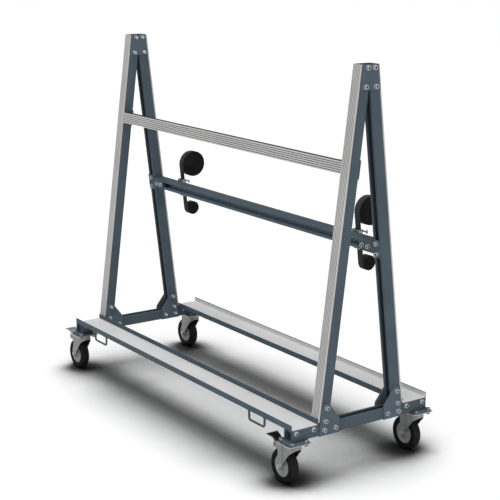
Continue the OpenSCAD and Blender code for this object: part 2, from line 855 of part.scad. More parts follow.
// A fork's side view in X and Z
module fork_side(braked) {
    nose = fork_nose_front + overrun;
    difference() {
        union() {
            polygon([
                [nose, crown_z],
                [fork_crown_slope - fork_step, crown_z],
                [-fork_step, crown_z - fork_step_drop],
                [-fork_rear, crown_z - fork_rear_drop],
                [-fork_rear, axle_z],
                [fork_eye - caster_trail, axle_z],
                [-fork_knee, crown_z - fork_knee_drop],
                [fork_brow, crown_z - fork_brow_drop],
                [nose, crown_z - fork_nose_depth]
            ]);
            translate([-caster_trail, axle_z]) circle(r = fork_eye);
            if (braked) translate([-pedal_pivot, crown_z - pedal_pivot_drop]) {
                circle(r = pedal_ear);
                translate([0, -pedal_ear]) square([pedal_pivot - fork_rear + overrun, 2 * pedal_ear]);
            }
        }
        translate([-caster_trail, axle_z]) circle(d = axle_diameter + 2 * pin_clearance);
        if (braked) translate([-pedal_pivot, crown_z - pedal_pivot_drop])
            circle(d = pedal_pin + 2 * pin_clearance);
    }
}

module fork(side_x, side_y, braked) {
    color(zinc) at_caster(side_x, side_y) difference() {
        intersection() {
            slab_along_y(2 * fork_front_width) fork_side(braked);
            linear_extrude(height = crown_z) fork_plan(0);
        }
        translate([0, 0, -overrun]) linear_extrude(height = crown_z - fork_crown + overrun)
            fork_plan(fork_sheet);
        translate([0, 0, crown_z / 2]) cylinder(d = king_pin + 2 * pin_clearance, h = crown_z);
    }
}

module axle(side_x, side_y) {
    grip = fork_leg_width;
    stub = axle_diameter * (nut_share + stub_share);
    color(zinc) at_caster(side_x, side_y) translate([-caster_trail, 0, axle_z]) rotate([90, 0, 0]) {
        translate([0, 0, grip / 2]) hex_bolt(axle_diameter, axle_head_flats, grip, stub);
        translate([0, 0, -grip / 2]) hex_nut(axle_diameter, axle_head_flats);
    }
}

// Half of the hub's section: radius along X, width along Y
module hub_section() {
    bore = axle_diameter / 2 + pin_clearance;
    rim = hub_diameter / 2;
    translate([bore, -hub_half]) square([hub_boss - bore, 2 * hub_half]);
    translate([bore, -hub_web_half]) square([rim - bore, 2 * hub_web_half]);
    translate([rim - hub_rim, -hub_seat_half]) square([hub_rim, 2 * hub_seat_half]);
}

module hub(side_x, side_y) {
    color(hub_grey) at_caster(side_x, side_y) translate([-caster_trail, 0, axle_z])
        rotate([90, 0, 0]) rotate_extrude() hub_section();
}

module tyre_section() {
    seat = hub_diameter / 2;
    outer = wheel_diameter / 2;
    half = tyre_width / 2;
    translate([seat, -half]) square([outer - tyre_shoulder - seat, tyre_width]);
    translate([seat, tyre_shoulder - half]) square([outer - seat, tyre_width - 2 * tyre_shoulder]);
    for (side = sides)
        translate([outer - tyre_shoulder, side * (half - tyre_shoulder)]) circle(r = tyre_shoulder);
}

module tyre(side_x, side_y) {
    color(tyre_black) at_caster(side_x, side_y) translate([-caster_trail, 0, axle_z])
        rotate([90, 0, 0]) rotate_extrude() tyre_section();
}

// Brake pedal in X and Z about its pivot: a blade that rises away from the wheel
module pedal_side() {
    polygon([
        [0, -pedal_barrel / 2],
        [0, pedal_barrel],
        [-pedal_neck_reach, pedal_rise - pedal_tip_thickness],
        [-pedal_reach, pedal_rise],
        [-pedal_reach, pedal_rise - pedal_tip_thickness],
        [-pedal_neck_reach - pedal_barrel, pedal_rise / 2 - pedal_under_drop / 2],
        [-pedal_barrel, -pedal_barrel / 2]
    ]);
    circle(r = pedal_barrel);
}

// The blade's plan widens from the root to the tip
module pedal_plan(tip_width) {
    root = pedal_root_width / 2;
    tip = tip_width / 2;
    polygon([
        [pedal_barrel, -root],
        [pedal_barrel, root],
        [-pedal_barrel, root],
        [-pedal_reach, tip],
        [-pedal_reach, -tip],
        [-pedal_barrel, -root]
    ]);
}

// The brake nose points at the wheel's centre when the pedal is down
module brake_nose() {
    rotate([0, pedal_travel + brake_nose_angle, 0]) {
        translate([brake_nose_reach, 0, 0]) bar_y(2 * brake_nose_radius, pedal_root_width);
        translate([0, -pedal_root_width / 2, -brake_nose_radius])
            cube([brake_nose_reach, pedal_root_width, 2 * brake_nose_radius]);
    }
}

module pedal(side_x, tip_width, shade) {
    color(shade) at_caster(side_x, -1) translate([-pedal_pivot, 0, crown_z - pedal_pivot_drop]) {
        intersection() {
            slab_along_y(2 * pedal_tip_width) pedal_side();
            translate([0, 0, -crown_z]) linear_extrude(height = 2 * crown_z) pedal_plan(tip_width);
        }
        bar_y(2 * pedal_barrel, 2 * pedal_barrel_half);
        bar_y(pedal_pin, fork_leg_width);
        brake_nose();
    }
}

// Straps

// Points along one edge of a flat spiral, as [out of the web, up the slope].
// way is 1 for a roll that leaves upwards and -1 for one that leaves downwards.
function roll_edge(centre, start, turns, way, edge) = [
    for (i = [0 : turns * roll_steps])
        let (angle = 360 * i / roll_steps, radius = start - strap_pitch * i / roll_steps + edge)
            [strap_standoff + start - radius * cos(angle), centre + way * radius * sin(angle)]
];
function reversed(list) = [for (i = [len(list) - 1 : -1 : 0]) list[i]];
function strap_outline() = concat(
    reversed(roll_edge(big_roll_rise, big_start, big_turns, 1, strap_edge)),
    roll_edge(-small_roll_drop, small_start, small_turns, -1, strap_edge),
    reversed(roll_edge(-small_roll_drop, small_start, small_turns, -1, -strap_edge)),
    roll_edge(big_roll_rise, big_start, big_turns, 1, -strap_edge)
);

// The least gap of a roll to itself: from each point to the chord one turn further in
function chord_distance(point, a, b) =
    let (along = (b - a) / norm(b - a), share = min(norm(b - a), max(0, (point - a) * along)))
        norm(point - a - along * share);
function roll_gap(line) = min([
    for (i = [0 : len(line) - 2 - roll_steps], near = [-1 : 0])
        chord_distance(line[i], line[i + roll_steps + near], line[i + roll_steps + near + 1])
]) - strap_thickness;
function line_length(line) = len(line) < 2 ? 0 :
    [for (i = [0 : len(line) - 2]) norm(line[i + 1] - line[i])] * [for (i = [0 : len(line) - 2]) 1];
big_line = roll_edge(big_roll_rise, big_start, big_turns, 1, 0);
small_line = roll_edge(-small_roll_drop, small_start, small_turns, -1, 0);
echo(least_gap_big_roll = roll_gap(big_line), least_gap_small_roll = roll_gap(small_line));
echo(strap_length = line_length(big_line) + line_length(small_line) + big_roll_rise + small_roll_drop);

module strap(side_x) {
    color(webbing_black) translate([side_x * strap_middle - strap_width / 2, 0, 0])
        on_lean(rear_rail_height) rotate([90, 0, 90])
        linear_extrude(height = strap_width) polygon(strap_outline());
}

// A cheek's outline, as [out of the web, up the slope], with an ear round each pin
module buckle_cheek() {
    translate([0, -buckle_fall]) square([guide_height, buckle_fall + guide_rise]);
    translate([guide_height, guide_rise]) circle(r = buckle_ear);
    translate([0, guide_rise]) square([guide_height, buckle_ear]);
    translate([buckle_hinge, 0]) circle(r = buckle_hinge_ear);
    translate([0, -buckle_hinge_ear]) square([buckle_hinge, 2 * buckle_hinge_ear]);
}

// A buckle is a back plate on the rail's web with two cheeks
module buckle_frame(side_x) {
    color(zinc) on_lean(rear_rail_height) translate([side_x * strap_middle, 0, 0]) difference() {
        union() {
            translate([-buckle_width / 2, 0, -buckle_fall])
                cube([buckle_width, buckle_sheet, buckle_fall + guide_rise + buckle_ear]);
            for (side = sides)
                translate([side > 0 ? buckle_width / 2 - buckle_sheet : -buckle_width / 2, 0, 0])
                    plate_along_x(buckle_sheet) buckle_cheek();
        }
        translate([-buckle_width, buckle_hinge, 0]) bar_x(lever_pin + 2 * pin_clearance, 2 * buckle_width);
        translate([-buckle_width, guide_height, guide_rise])
            bar_x(guide_pin + 2 * pin_clearance, 2 * buckle_width);
        translate([0, 0, -buckle_bolt_drop]) bar_y(buckle_bolt + hole_play, buckle_bolt);
    }
}

// The lever's off-centre cam presses the webbing, and its handle lies down the slope
module cam_lever(side_x) {
    width = buckle_width - 2 * buckle_sheet - 2 * face_gap;
    color(zinc) on_lean(rear_rail_height) translate([side_x * strap_middle, buckle_hinge, 0]) difference() {
        union() {
            translate([-width / 2, -lever_throw, 0]) bar_x(2 * (lever_cam - lever_throw), width);
            translate([-width / 2, lever_pin / 2, -lever_length])
                cube([width, lever_thickness, lever_length]);
        }
        translate([-buckle_width, 0, 0]) bar_x(lever_pin + 2 * pin_clearance, 2 * buckle_width);
    }
}

// The lever's hinge pin, and the guide pin with a cross bar on its far end
module buckle_pins() {
    color(zinc) on_lean(rear_rail_height) for (side = sides) translate([side * strap_middle, 0, 0]) {
        translate([-buckle_width / 2, buckle_hinge, 0]) bar_x(lever_pin, buckle_width);
        translate([-buckle_width / 2, guide_height, guide_rise])
            bar_x(guide_pin, guide_reach + buckle_width / 2);
        translate([guide_reach - guide_bar_thickness / 2, guide_height, guide_rise - guide_bar / 2])
            cylinder(d = guide_pin, h = guide_bar);
    }
}

// Fasteners

module frame_bolts() {
    grip = channel_width + 2 * plate_thickness;
    color(zinc) for (side_x = sides) translate([side_x * frame_x, 0, 0])
        for (side_y = sides) {
            for (height = concat(gusset_bolt_heights, top_bolt_heights))
                translate([side_x * grip / 2, side_y * upright_centre_y(height), height])
                    rotate([0, side_x * 90, 0]) through_bolt(frame_bolt, frame_flats, grip);
            for (place = cross_bolt_places)
                translate([side_x * grip / 2, side_y * place, cross_bolt_z])
                    rotate([0, side_x * 90, 0]) through_bolt(frame_bolt, frame_flats, grip);
        }
}

// A bolt through a bracket into a block behind the channel's lips
module rail_bolt(along_x) {
    reach = channel_return + channel_nut_height;
    block = [
        along_x ? frame_flats : channel_width * channel_nut_length_share,
        channel_nut_height,
        along_x ? channel_width * channel_nut_length_share : frame_flats
    ];
    translate([0, -channel_width - bracket_thickness, 0]) rotate([90, 0, 0])
        hex_bolt(frame_bolt, frame_flats, bracket_thickness + channel_return + channel_nut_height, 0);
    translate([0, channel_return - channel_width, 0]) difference() {
        translate([-block[0] / 2, nut_play, -block[2] / 2]) cube(block);
        bar_y(frame_bolt + 2 * pin_clearance, 4 * reach);
    }
}

module rail_bolts() {
    color(zinc) {
        front_side() bracket_bolts(front_rail_height);
        bracket_bolts(rear_rail_height);
        on_lean(rear_rail_height) for (side = sides)
            translate([side * strap_middle, buckle_sheet, -buckle_bolt_drop]) rotate([-90, 0, 0])
                through_bolt(buckle_bolt, buckle_bolt_flats, buckle_sheet + channel_wall);
    }
}

module bracket_bolts(height) {
    on_lean(height) for (side = sides, i = [0 : len(bracket_bolt_places) - 1])
        translate([side * bracket_bolt_places[i][0], 0, bracket_bolt_places[i][1]]) rail_bolt(i > 1);
}

module deck_bolts() {
    grip = channel_width + tray_sheet;
    color(zinc) for (side_x = sides, side_y = sides, place = sides)
        translate([side_x * (cart_length / 2 + tray_sheet),
                side_y * (tab_middle + place * tab_bolt_spacing / 2), tab_bolt_z])
            rotate([0, side_x * 90, 0]) socket_bolt(small_bolt, small_flats, grip);
}

module caster_bolts() {
    color(zinc) for (side_x = sides, side_y = sides) at_caster(side_x, side_y)
        translate([0, 0, cross_bottom]) caster_bolt_pattern()
            through_bolt(small_bolt, small_flats, mounting_thickness + top_plate_gauge);
}

placed() upright(-1, -1);  // left_front_upright
placed() upright(-1, 1);  // left_rear_upright
placed() upright(1, -1);  // right_front_upright
placed() upright(1, 1);  // right_rear_upright
placed() cross_member(-1);  // left_cross_member
placed() cross_member(1);  // right_cross_member
placed() gussets(-1);  // left_gussets
placed() gussets(1);  // right_gussets
placed() top_plates(-1);  // left_top_plates
placed() top_plates(1);  // right_top_plates
placed() front_rail();
placed() rear_rail();
placed() front_side() rail_brackets(front_rail_height);  // front_rail_brackets
placed() rail_brackets(rear_rail_height);  // rear_rail_brackets
placed() rubbing_strip(-1, -1);  // left_front_strip
placed() rubbing_strip(-1, 1);  // left_rear_strip
placed() rubbing_strip(1, -1);  // right_front_strip
placed() rubbing_strip(1, 1);  // right_rear_strip
placed() rail_strip();
placed() front_side() tray();  // front_tray
placed() tray();  // rear_tray
placed() front_side() deck_liner();  // front_deck_liner
placed() deck_liner();  // rear_deck_liner
placed() lashing_loops();
placed() mounting_plates();
placed() caster_top_plates();
placed() swivel_bearings();
placed() fork(-1, -1, true);  // front_left_fork
placed() fork(1, -1, true);  // front_right_fork
placed() fork(-1, 1, false);  // rear_left_fork
placed() fork(1, 1, false);  // rear_right_fork
placed() axle(-1, -1);  // front_left_axle
placed() axle(1, -1);  // front_right_axle
placed() axle(-1, 1);  // rear_left_axle
placed() axle(1, 1);  // rear_right_axle
placed() hub(-1, -1);  // front_left_hub
placed() hub(1, -1);  // front_right_hub
placed() hub(-1, 1);  // rear_left_hub
placed() hub(1, 1);  // rear_right_hub
placed() tyre(-1, -1);  // front_left_tyre
placed() tyre(1, -1);  // front_right_tyre
placed() tyre(-1, 1);  // rear_left_tyre
placed() tyre(1, 1);  // rear_right_tyre
placed() pedal(-1, pedal_tip_width, zinc);  // front_left_pedal
placed() pedal(1, pedal_narrow_tip_width, pedal_black);  // front_right_pedal
placed() strap(-1);  // left_strap
placed() strap(1);  // right_strap
placed() buckle_frame(-1);  // left_buckle_frame
placed() buckle_frame(1);  // right_buckle_frame
placed() cam_lever(-1);  // left_cam_lever
placed() cam_lever(1);  // right_cam_lever
placed() buckle_pins();
placed() frame_bolts();
placed() rail_bolts();
placed() deck_bolts();
placed() caster_bolts();
placed() deck_screws();
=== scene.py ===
"""Looks of a sheet goods cart around its CAD model: paint, zinc, rubber, webbing and a studio."""

import json
import math
from itertools import product

import bmesh
import bpy
from mathutils import Matrix, Vector


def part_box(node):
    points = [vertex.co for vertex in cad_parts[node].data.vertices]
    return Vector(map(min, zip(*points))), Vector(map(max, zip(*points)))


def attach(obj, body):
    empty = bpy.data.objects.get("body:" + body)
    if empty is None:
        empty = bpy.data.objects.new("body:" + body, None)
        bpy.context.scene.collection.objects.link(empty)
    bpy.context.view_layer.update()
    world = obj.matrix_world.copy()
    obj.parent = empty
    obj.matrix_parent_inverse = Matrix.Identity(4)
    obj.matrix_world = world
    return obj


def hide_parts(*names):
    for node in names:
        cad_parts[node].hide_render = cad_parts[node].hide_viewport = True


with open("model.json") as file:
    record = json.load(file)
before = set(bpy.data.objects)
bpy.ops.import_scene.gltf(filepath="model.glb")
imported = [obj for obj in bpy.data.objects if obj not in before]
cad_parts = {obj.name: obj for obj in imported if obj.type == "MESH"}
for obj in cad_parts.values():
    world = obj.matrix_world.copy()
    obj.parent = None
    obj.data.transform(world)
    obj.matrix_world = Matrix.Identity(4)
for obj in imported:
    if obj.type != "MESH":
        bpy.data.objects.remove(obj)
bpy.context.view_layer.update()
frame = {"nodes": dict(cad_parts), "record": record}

bl_info = {
    "name": "Sheet goods cart",
    "version": (1, 0, 0),
    "blender": (4, 5, 0),
    "location": "3D View > Sidebar > Cart",
    "description": "Builds the cart's finished pieces and its studio around the CAD model",
    "category": "Object",
}

MM = 0.001
BOTH = (-1, 1)
SIDES = {"left": -1, "right": 1}
CORNERS = {
    "front_left": (-1, -1),
    "front_right": (1, -1),
    "rear_left": (-1, 1),
    "rear_right": (1, 1),
}
SLOTS = {part["node"]: part["material_slot"] for part in frame["record"]["subparts"]}

# The cart's middle and the places that the pieces share, in millimetres
MIDDLE_X = sum(corner.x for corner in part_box("front_rail")) / 2 / MM
FRAME_X = 744.5
CHANNEL = 41
CROSS_BOTTOM = 168
CROSS_TOP = 209
FOOT_HALF = 182.6
TOP_HALF = 33.5
HEIGHT = 1412
LEAN = math.atan((FOOT_HALF - TOP_HALF) / (HEIGHT - CROSS_TOP))
REAR_RAIL = 788
FRONT_RAIL = 1072.5
TRAY_INNER = 187.575
TRAY_OUTER = 300
STRAP_X = 579

# Casters: the swivels, and behind each its wheel's axle, its fork's crease and its pedal's pivot
CASTER_Y = 274.7
AXLE_BACK = 47
AXLE_Z = 62.5
CREASE_BACK = 31
PIVOT_BACK = 76
PIVOT_Z = 134


def colour(red, green, blue):
    """A colour as a screen shows it, from 0 to 255, made linear."""
    return tuple(
        level / 255 / 12.92 if level <= 10 else ((level / 255 + 0.055) / 1.055) ** 2.4
        for level in (red, green, blue)
    ) + (1.0,)


def scaled(shade, factor):
    return tuple(min(1.0, level * factor) for level in shade[:3]) + (1.0,)


def web_y(height):
    """Where a rear upright's web face is at a height."""
    return FOOT_HALF - (height - CROSS_TOP) * math.tan(LEAN)


def upright_middle_y(height):
    return web_y(height) - CHANNEL / 2 / math.cos(LEAN)


def on_lean(x, out, up, height, side=1):
    """A point measured from a rail's web: out of it and up its slope. side is -1 at the front."""
    y = web_y(height) + out * math.cos(LEAN) - up * math.sin(LEAN)
    z = height + out * math.sin(LEAN) + up * math.cos(LEAN)
    return Vector((x + MIDDLE_X, side * y, z)) * MM


def lean_way(out, side=1):
    """The direction out of a rail's web."""
    return Vector((0.0, side * out * math.cos(LEAN), out * math.sin(LEAN)))


def slope_way(side=1):
    """The direction up a rail's slope."""
    return Vector((0.0, -side * math.sin(LEAN), math.cos(LEAN)))


def at(x, y, z):
    """A point measured from the cart's middle and the floor."""
    return Vector((x + MIDDLE_X, y, z)) * MM


def by_caster(side, end, back=0.0, out=0.0, height=0.0):
    """A point by a caster's swivel: back along the cart, out along y and up from the floor."""
    return at(side * FRAME_X - back, end * CASTER_Y + out, height)


class Term:
    """A socket of a node tree. Sums on it add Math nodes, and make() adds any other node."""

    def __init__(self, tree, socket=None):
        self.tree = tree
        self.socket = socket

    def make(self, kind, settings=None, output=0, **links):
        """Adds a node. Its inputs' names are written with underscores for spaces."""
        node = self.tree.nodes.new(kind)
        for name, value in (settings or {}).items():
            setattr(node, name, value)
        for name, value in links.items():
            name = name.replace("_", " ")
            place = next(each for each in node.inputs if each.name == name and each.enabled)
            for each in value if isinstance(value, list) else [value]:
                self.fill(place, each)
        return Term(self.tree, node.outputs[output] if node.outputs else None)

    def fill(self, place, value):
        """Links a Term to an input, or sets the input to a plain value."""
        if isinstance(value, Term):
            self.tree.links.new(value.socket, place)
        else:
            place.default_value = value

    def out(self, name):
        """Another output of the node that this socket belongs to."""
        return Term(self.tree, self.socket.node.outputs[name])

    def sum(self, operation, first, second=0.0):
        """A Math node on one or two Terms or numbers."""
        result = self.make("ShaderNodeMath", {"operation": operation})
        for place, value in zip(result.socket.node.inputs, (first, second)):
            self.fill(place, value)
        return result

    def __add__(self, other):
        return self.sum("ADD", self, other)

    def __sub__(self, other):
        return self.sum("SUBTRACT", self, other)

    def __rsub__(self, other):
        return self.sum("SUBTRACT", other, self)

    def __mul__(self, other):
        return self.sum("MULTIPLY", self, other)

    def __abs__(self):
        return self.sum("ABSOLUTE", self)


# Finishes


def mixed(share, first, second):
    """Two colours mixed, where either is a Term or a plain colour."""
    settings = {"data_type": "RGBA", "clamp_factor": True}
    return share.make("ShaderNodeMix", settings, output=2, Factor=share, A=first, B=second)


def noise(coords, scale, detail=2.0, roughness=0.5):
    return coords.make(
        "ShaderNodeTexNoise", Vector=coords, Scale=scale, Detail=detail, Roughness=roughness
    )


def ramped(value, low, high):
    """A value stretched so that low gives 0 and high gives 1."""
    settings = {"interpolation_type": "SMOOTHSTEP"}
    return value.make("ShaderNodeMapRange", settings, Value=value, From_Min=low, From_Max=high)


def painted_on(sheet, name):
    """A piece's own attribute, such as edge, which is 1 on softened edges and 0 on faces."""
    return sheet.make("ShaderNodeAttribute", {"attribute_name": name}, output="Fac")


def new_material(name):
    """A material with an empty tree, and its object coordinates, which make its other nodes."""
    material = bpy.data.materials.new(name)
    material.use_nodes = True
    material.node_tree.nodes.clear()
    return material, Term(material.node_tree).make("ShaderNodeTexCoord", output="Object")


# Each finish gives its colour, its roughness, its bump and the numbers that are the same all over


def slate_paint(coords, shade):
    """Powder coat: a fine orange peel, slight mottling and edges rubbed lighter."""
    peel = noise(coords, 700)
    mottle = noise(coords, 9, 3)
    rub = painted_on(coords, "edge") * ramped(noise(coords, 60, 4), 0.3, 0.65) * 0.75
    pale = tuple(min(1.0, level * 1.9 + 0.03) for level in shade[:3]) + (1.0,)
    base = mixed(ramped(mottle, 0.3, 0.7), scaled(shade, 0.9), scaled(shade, 1.06))
    base = mixed(rub, base, pale)
    # Painted shade: a rail's top flange is darkened as if it lay in shadow
    base = mixed(painted_on(coords, "upper"), base, scaled(shade, 0.25))
    # Painted light: a rail channel's inside faces are lightened as if more light reached them
    base = mixed(painted_on(coords, "inner"), base, scaled(shade, 2.6))
    return base, mottle * 0.1 + 0.6, (peel, 0.1, 0.0005), {"Specular_IOR_Level": 0.04}


def ribbed_rubber(coords, shade):
    """Smooth rubber with faint smears, and painted shade in its grooves."""
    grain = noise(coords, 900)
    smear = noise(coords, 6, 4)
    base = mixed(ramped(smear, 0.3, 0.7), scaled(shade, 0.9), shade)
    # Painted shade on the grooves' walls, where the ribs shade them
    base = mixed(painted_on(coords, "groove"), base, scaled(shade, 0.16))
    return base, smear * 0.15 + 0.6, (grain, 0.06, 0.0003), {"Specular_IOR_Level": 0.15}


def liner_plastic(coords, shade):
    """Matt deck sheet with a fine pebble grain and faint scuffs along the deck."""
    pebble = coords.make("ShaderNodeTexVoronoi", output="Distance", Vector=coords, Scale=420.0)
    drawn = coords.make("ShaderNodeMapping", Vector=coords, Scale=(2.0, 40.0, 1.0))
    scuff = ramped(noise(drawn, 6, 5, 0.6), 0.5, 0.75)
    cloud = ramped(noise(coords, 5, 4), 0.3, 0.7)
    base = mixed(cloud, scaled(shade, 0.93), shade)
    base = mixed(scuff * 0.7, base, scaled(shade, 0.84))
    return base, cloud * 0.1 + 0.5, (pebble, 0.1, 0.0004), {"Specular_IOR_Level": 0.35}


def zinc_plate(coords, shade, roughness, spangle, metal=0.85):
    """Plated steel: faint spangle, fine grain, dull patches, and painted shade in creases and
    recesses.
    """
    cells = coords.make("ShaderNodeTexVoronoi", output="Color", Vector=coords, Scale=spangle)
    patch = coords.make("ShaderNodeSeparateColor", Color=cells)
    # Painted shade: a dark line along the step in a fork's flank, where that step falls in shade
    crease = ramped(abs(painted_on(coords, "back") - CREASE_BACK), 2.0, 0.8)
    # Painted shade: a fork's inside faces darken towards its front, as under its arch
    inside = ramped(painted_on(coords, "depth"), 150.0, 195.0) * 0.92
    base = mixed(patch * 0.3 + noise(coords, 45, 4) * 0.55, shade, scaled(shade, 0.62))
    base = mixed(painted_on(coords, "edge") * 0.4, base, scaled(shade, 1.2))
    base = mixed(crease, base, scaled(shade, 0.12))
    # Painted shade in socket holes, slot walls and nuts that lie in shade
    base = mixed(painted_on(coords, "recess"), base, scaled(shade, 0.05))
    base = mixed(inside, base, scaled(shade, 0.04))
    return base, patch * 0.12 + roughness, (noise(coords, 1200), 0.08, 0.0003), {"Metallic": metal}


def moulded_plastic(coords, shade):
    """Plastic with a fine grain and a slightly uneven colour."""
    cloud = noise(coords, 20, 3)
    base = mixed(cloud, scaled(shade, 0.86), shade)
    bump = (noise(coords, 1100), 0.1, 0.0003)
    return base, cloud * 0.12 + 0.4, bump, {"Specular_IOR_Level": 0.4}


def tyre_rubber(coords, shade, worn_shade):
    """Black rubber, greyer with dust on the tread than on the walls."""
    dust = ramped(noise(coords, 70, 5), 0.3, 0.75)
    base = mixed(painted_on(coords, "tread") * (dust * 0.5 + 0.5), shade, worn_shade)
    bump = (noise(coords, 1400, 3), 0.22, 0.0004)
    return base, 0.78 - dust * 0.12, bump, {"Specular_IOR_Level": 0.12}


def webbing_cloth(coords, shade, thread_shade):
    """Woven polyester: ribs across the strap and herringbone pairs along it, from the UV map."""
    place = coords.make("ShaderNodeUVMap", {"uv_map": "weave"})
    along = coords.make("ShaderNodeSeparateXYZ", output="X", Vector=place)
    pick = coords.sum("SINE", along * 2800.0)
    warp = coords.sum("SINE", along.out("Y") * 4800.0)
    weave = pick * warp * 0.5 + 0.5
    painted_sheen_streak = ramped(noise(coords, 38, 4, 0.6), 0.52, 0.72)
    side = painted_on(coords, "selvedge")
    threads = weave * 0.5 + noise(coords, 900, 3) * 0.3
    base = mixed(threads, scaled(thread_shade, 0.8), thread_shade)
    base = mixed(side, base, shade)
    # Painted reflection: lighter streaks on the rolls' sides stand in for sheen off the turns'
    # edges
    base = mixed(side * painted_sheen_streak * 0.35, base, thread_shade)
    return base, 0.66 - side * 0.2, (weave, 0.35, 0.0003), {"Specular_IOR_Level": 0.06}


def make_finish(name, maker, *settings):
    """Joins what a finish gives to a shader and an output."""
    material, coords = new_material(name)
    base, roughness, (height, strength, distance), fixed = maker(coords, *settings)
    normal = coords.make("ShaderNodeBump", Height=height, Strength=strength, Distance=distance)
    shader = coords.make(
        "ShaderNodeBsdfPrincipled", Base_Color=base, Roughness=roughness, Normal=normal, **fixed
    )
    coords.make("ShaderNodeOutputMaterial", Surface=shader)
    return material


def make_finishes():
    """Every finish, by the record's slot names, and a few looks of their own."""
    colours = bpy.context.scene.cart_colours
    paint, strip, deck, hub = (
        tuple(shade) + (1.0,) for shade in (colours.paint, colours.strip, colours.deck, colours.hub)
    )
    looks = {
        "slate_paint": (slate_paint, paint),
        "plate_paint": (slate_paint, scaled(paint, 1.22)),
        "ribbed_strip": (ribbed_rubber, strip),
        "deck_liner": (liner_plastic, deck),
        "zinc_steel": (zinc_plate, colour(176, 177, 176), 0.3, 500.0),
        "bolt_steel": (zinc_plate, colour(186, 188, 189), 0.22, 700.0, 0.9),
        "buckle_steel": (zinc_plate, colour(160, 161, 161), 0.34, 400.0),
        "fork_zinc": (zinc_plate, colour(146, 147, 147), 0.46, 160.0, 0.7),
        "dull_bolt": (zinc_plate, colour(128, 131, 134), 0.3, 700.0),
        "hub_plastic": (moulded_plastic, hub),
        "tyre_rubber": (tyre_rubber, colour(13, 13, 14), colour(31, 30, 30)),
        "pedal_black": (moulded_plastic, colour(20, 20, 21)),
        "webbing": (webbing_cloth, colour(3, 3, 3), colour(58, 58, 58)),
    }
    return {name: make_finish(name, *look) for name, look in looks.items()}


FINISHES = {}


def finish(name):
    if not FINISHES:
        FINISHES.update(make_finishes())
    return FINISHES[name]


# Shapes


def hand_over(piece, body, slot, *nodes, look=None):
    """Gives a finished piece its finish and its body, and hides the CAD nodes that it stands for.
    """
    piece.data.materials.clear()
    piece.data.materials.append(finish(look or slot))
    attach(piece, body)
    if nodes:
        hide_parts(*nodes)


def nodes_with(slot):
    """The CAD nodes that have a finish."""
    return [node for node, own in SLOTS.items() if own == slot]


def add_object(name, mesh):
    piece = bpy.data.objects.new(name, mesh)
    bpy.context.scene.collection.objects.link(piece)
    return piece


def make_plain(piece):
    """Turns a piece with live modifiers into a plain mesh."""
    bpy.context.view_layer.update()
    graph = bpy.context.evaluated_depsgraph_get()
    mesh = bpy.data.meshes.new_from_object(
        piece.evaluated_get(graph), preserve_all_data_layers=True, depsgraph=graph
    )
    old = piece.data
    piece.modifiers.clear()
    piece.data = mesh
    if old.users == 0:
        bpy.data.meshes.remove(old)
    mesh.name = piece.name


def smoothed(piece, degrees):
    """Smooth shading, with edges sharper than the angle kept sharp."""
    piece.data.shade_smooth()
    piece.data.set_sharp_from_angle(angle=math.radians(degrees))
    return piece


def add_values(mesh, name, values, kind="FLOAT", place="POINT"):
    """Stores an attribute on a mesh's points, faces or corners."""
    layer = mesh.attributes.new(name, kind, place)
    if kind == "FLOAT":
        layer.data.foreach_set("value", values)
    else:
        layer.data.foreach_set("vector", [part for value in values for part in value])


def shaped(name, *parts):
    """A closed mesh from sets of points in metres and faces, the faces turned outwards."""
    shape = bmesh.new()
    for points, faces in parts:
        corners = [shape.verts.new(point) for point in points]
        for face in faces:
            shape.faces.new([corners[i] for i in face])
    bmesh.ops.remove_doubles(shape, verts=shape.verts, dist=1e-6)
    bmesh.ops.recalc_face_normals(shape, faces=shape.faces)
    mesh = bpy.data.meshes.new(name)
    shape.to_mesh(mesh)
    shape.free()
    return add_object(name, mesh)


def ring_faces(rings, count, closed=True):
    """Faces between rings of points, back to the first ring or with the end rings capped."""
    faces = []
    for i in range(rings if closed else rings - 1):
        after = (i + 1) % rings
        for j in range(count):
            k = (j + 1) % count
            faces.append((i * count + j, i * count + k, after * count + k, after * count + j))
    if not closed:
        faces.append(tuple(range(count)))
        faces.append(tuple((rings - 1) * count + j for j in range(count)))
    return faces


def neighbours(path, i):
    """The points before and after one of a path's, or its own at an end."""
    return path[max(0, i - 1)], path[min(len(path) - 1, i + 1)]


def turned(profile, steps, middle, axis="Y"):
    """Points and faces of a closed profile, (radius, along) in mm, turned round a middle."""
    points = []
    for step in range(steps):
        angle = 2 * math.pi * step / steps
        for radius, along in profile:
            first = radius * math.cos(angle) * MM
            second = radius * math.sin(angle) * MM
            if axis == "Y":
                points.append(middle + Vector((first, along * MM, second)))
            else:
                points.append(middle + Vector((first, second, along * MM)))
    return points, ring_faces(steps, len(profile))


def arc(middle, radius, first, last, steps):
    """Points of an arc as (a, b), from one angle in degrees to another."""
    points = []
    for i in range(steps + 1):
        angle = math.radians(first + (last - first) * i / steps)
        points.append((middle[0] + radius * math.cos(angle), middle[1] + radius * math.sin(angle)))
    return points


def rod(path, radius, sides=16):
    """A round rod along (x, z) points in mm at y = 0, as points and faces, its ends closed."""
    points = []
    for i, (x, z) in enumerate(path):
        before, after = neighbours(path, i)
        run = Vector((after[0] - before[0], 0.0, after[1] - before[1])).normalized()
        sideways = Vector((-run.z, 0.0, run.x))
        for side in range(sides):
            angle = 2 * math.pi * side / sides
            ring = sideways * math.cos(angle) + Vector((0.0, 1.0, 0.0)) * math.sin(angle)
            points.append((Vector((x, 0.0, z)) + ring * radius) * MM)
    return points, ring_faces(len(path), sides, closed=False)


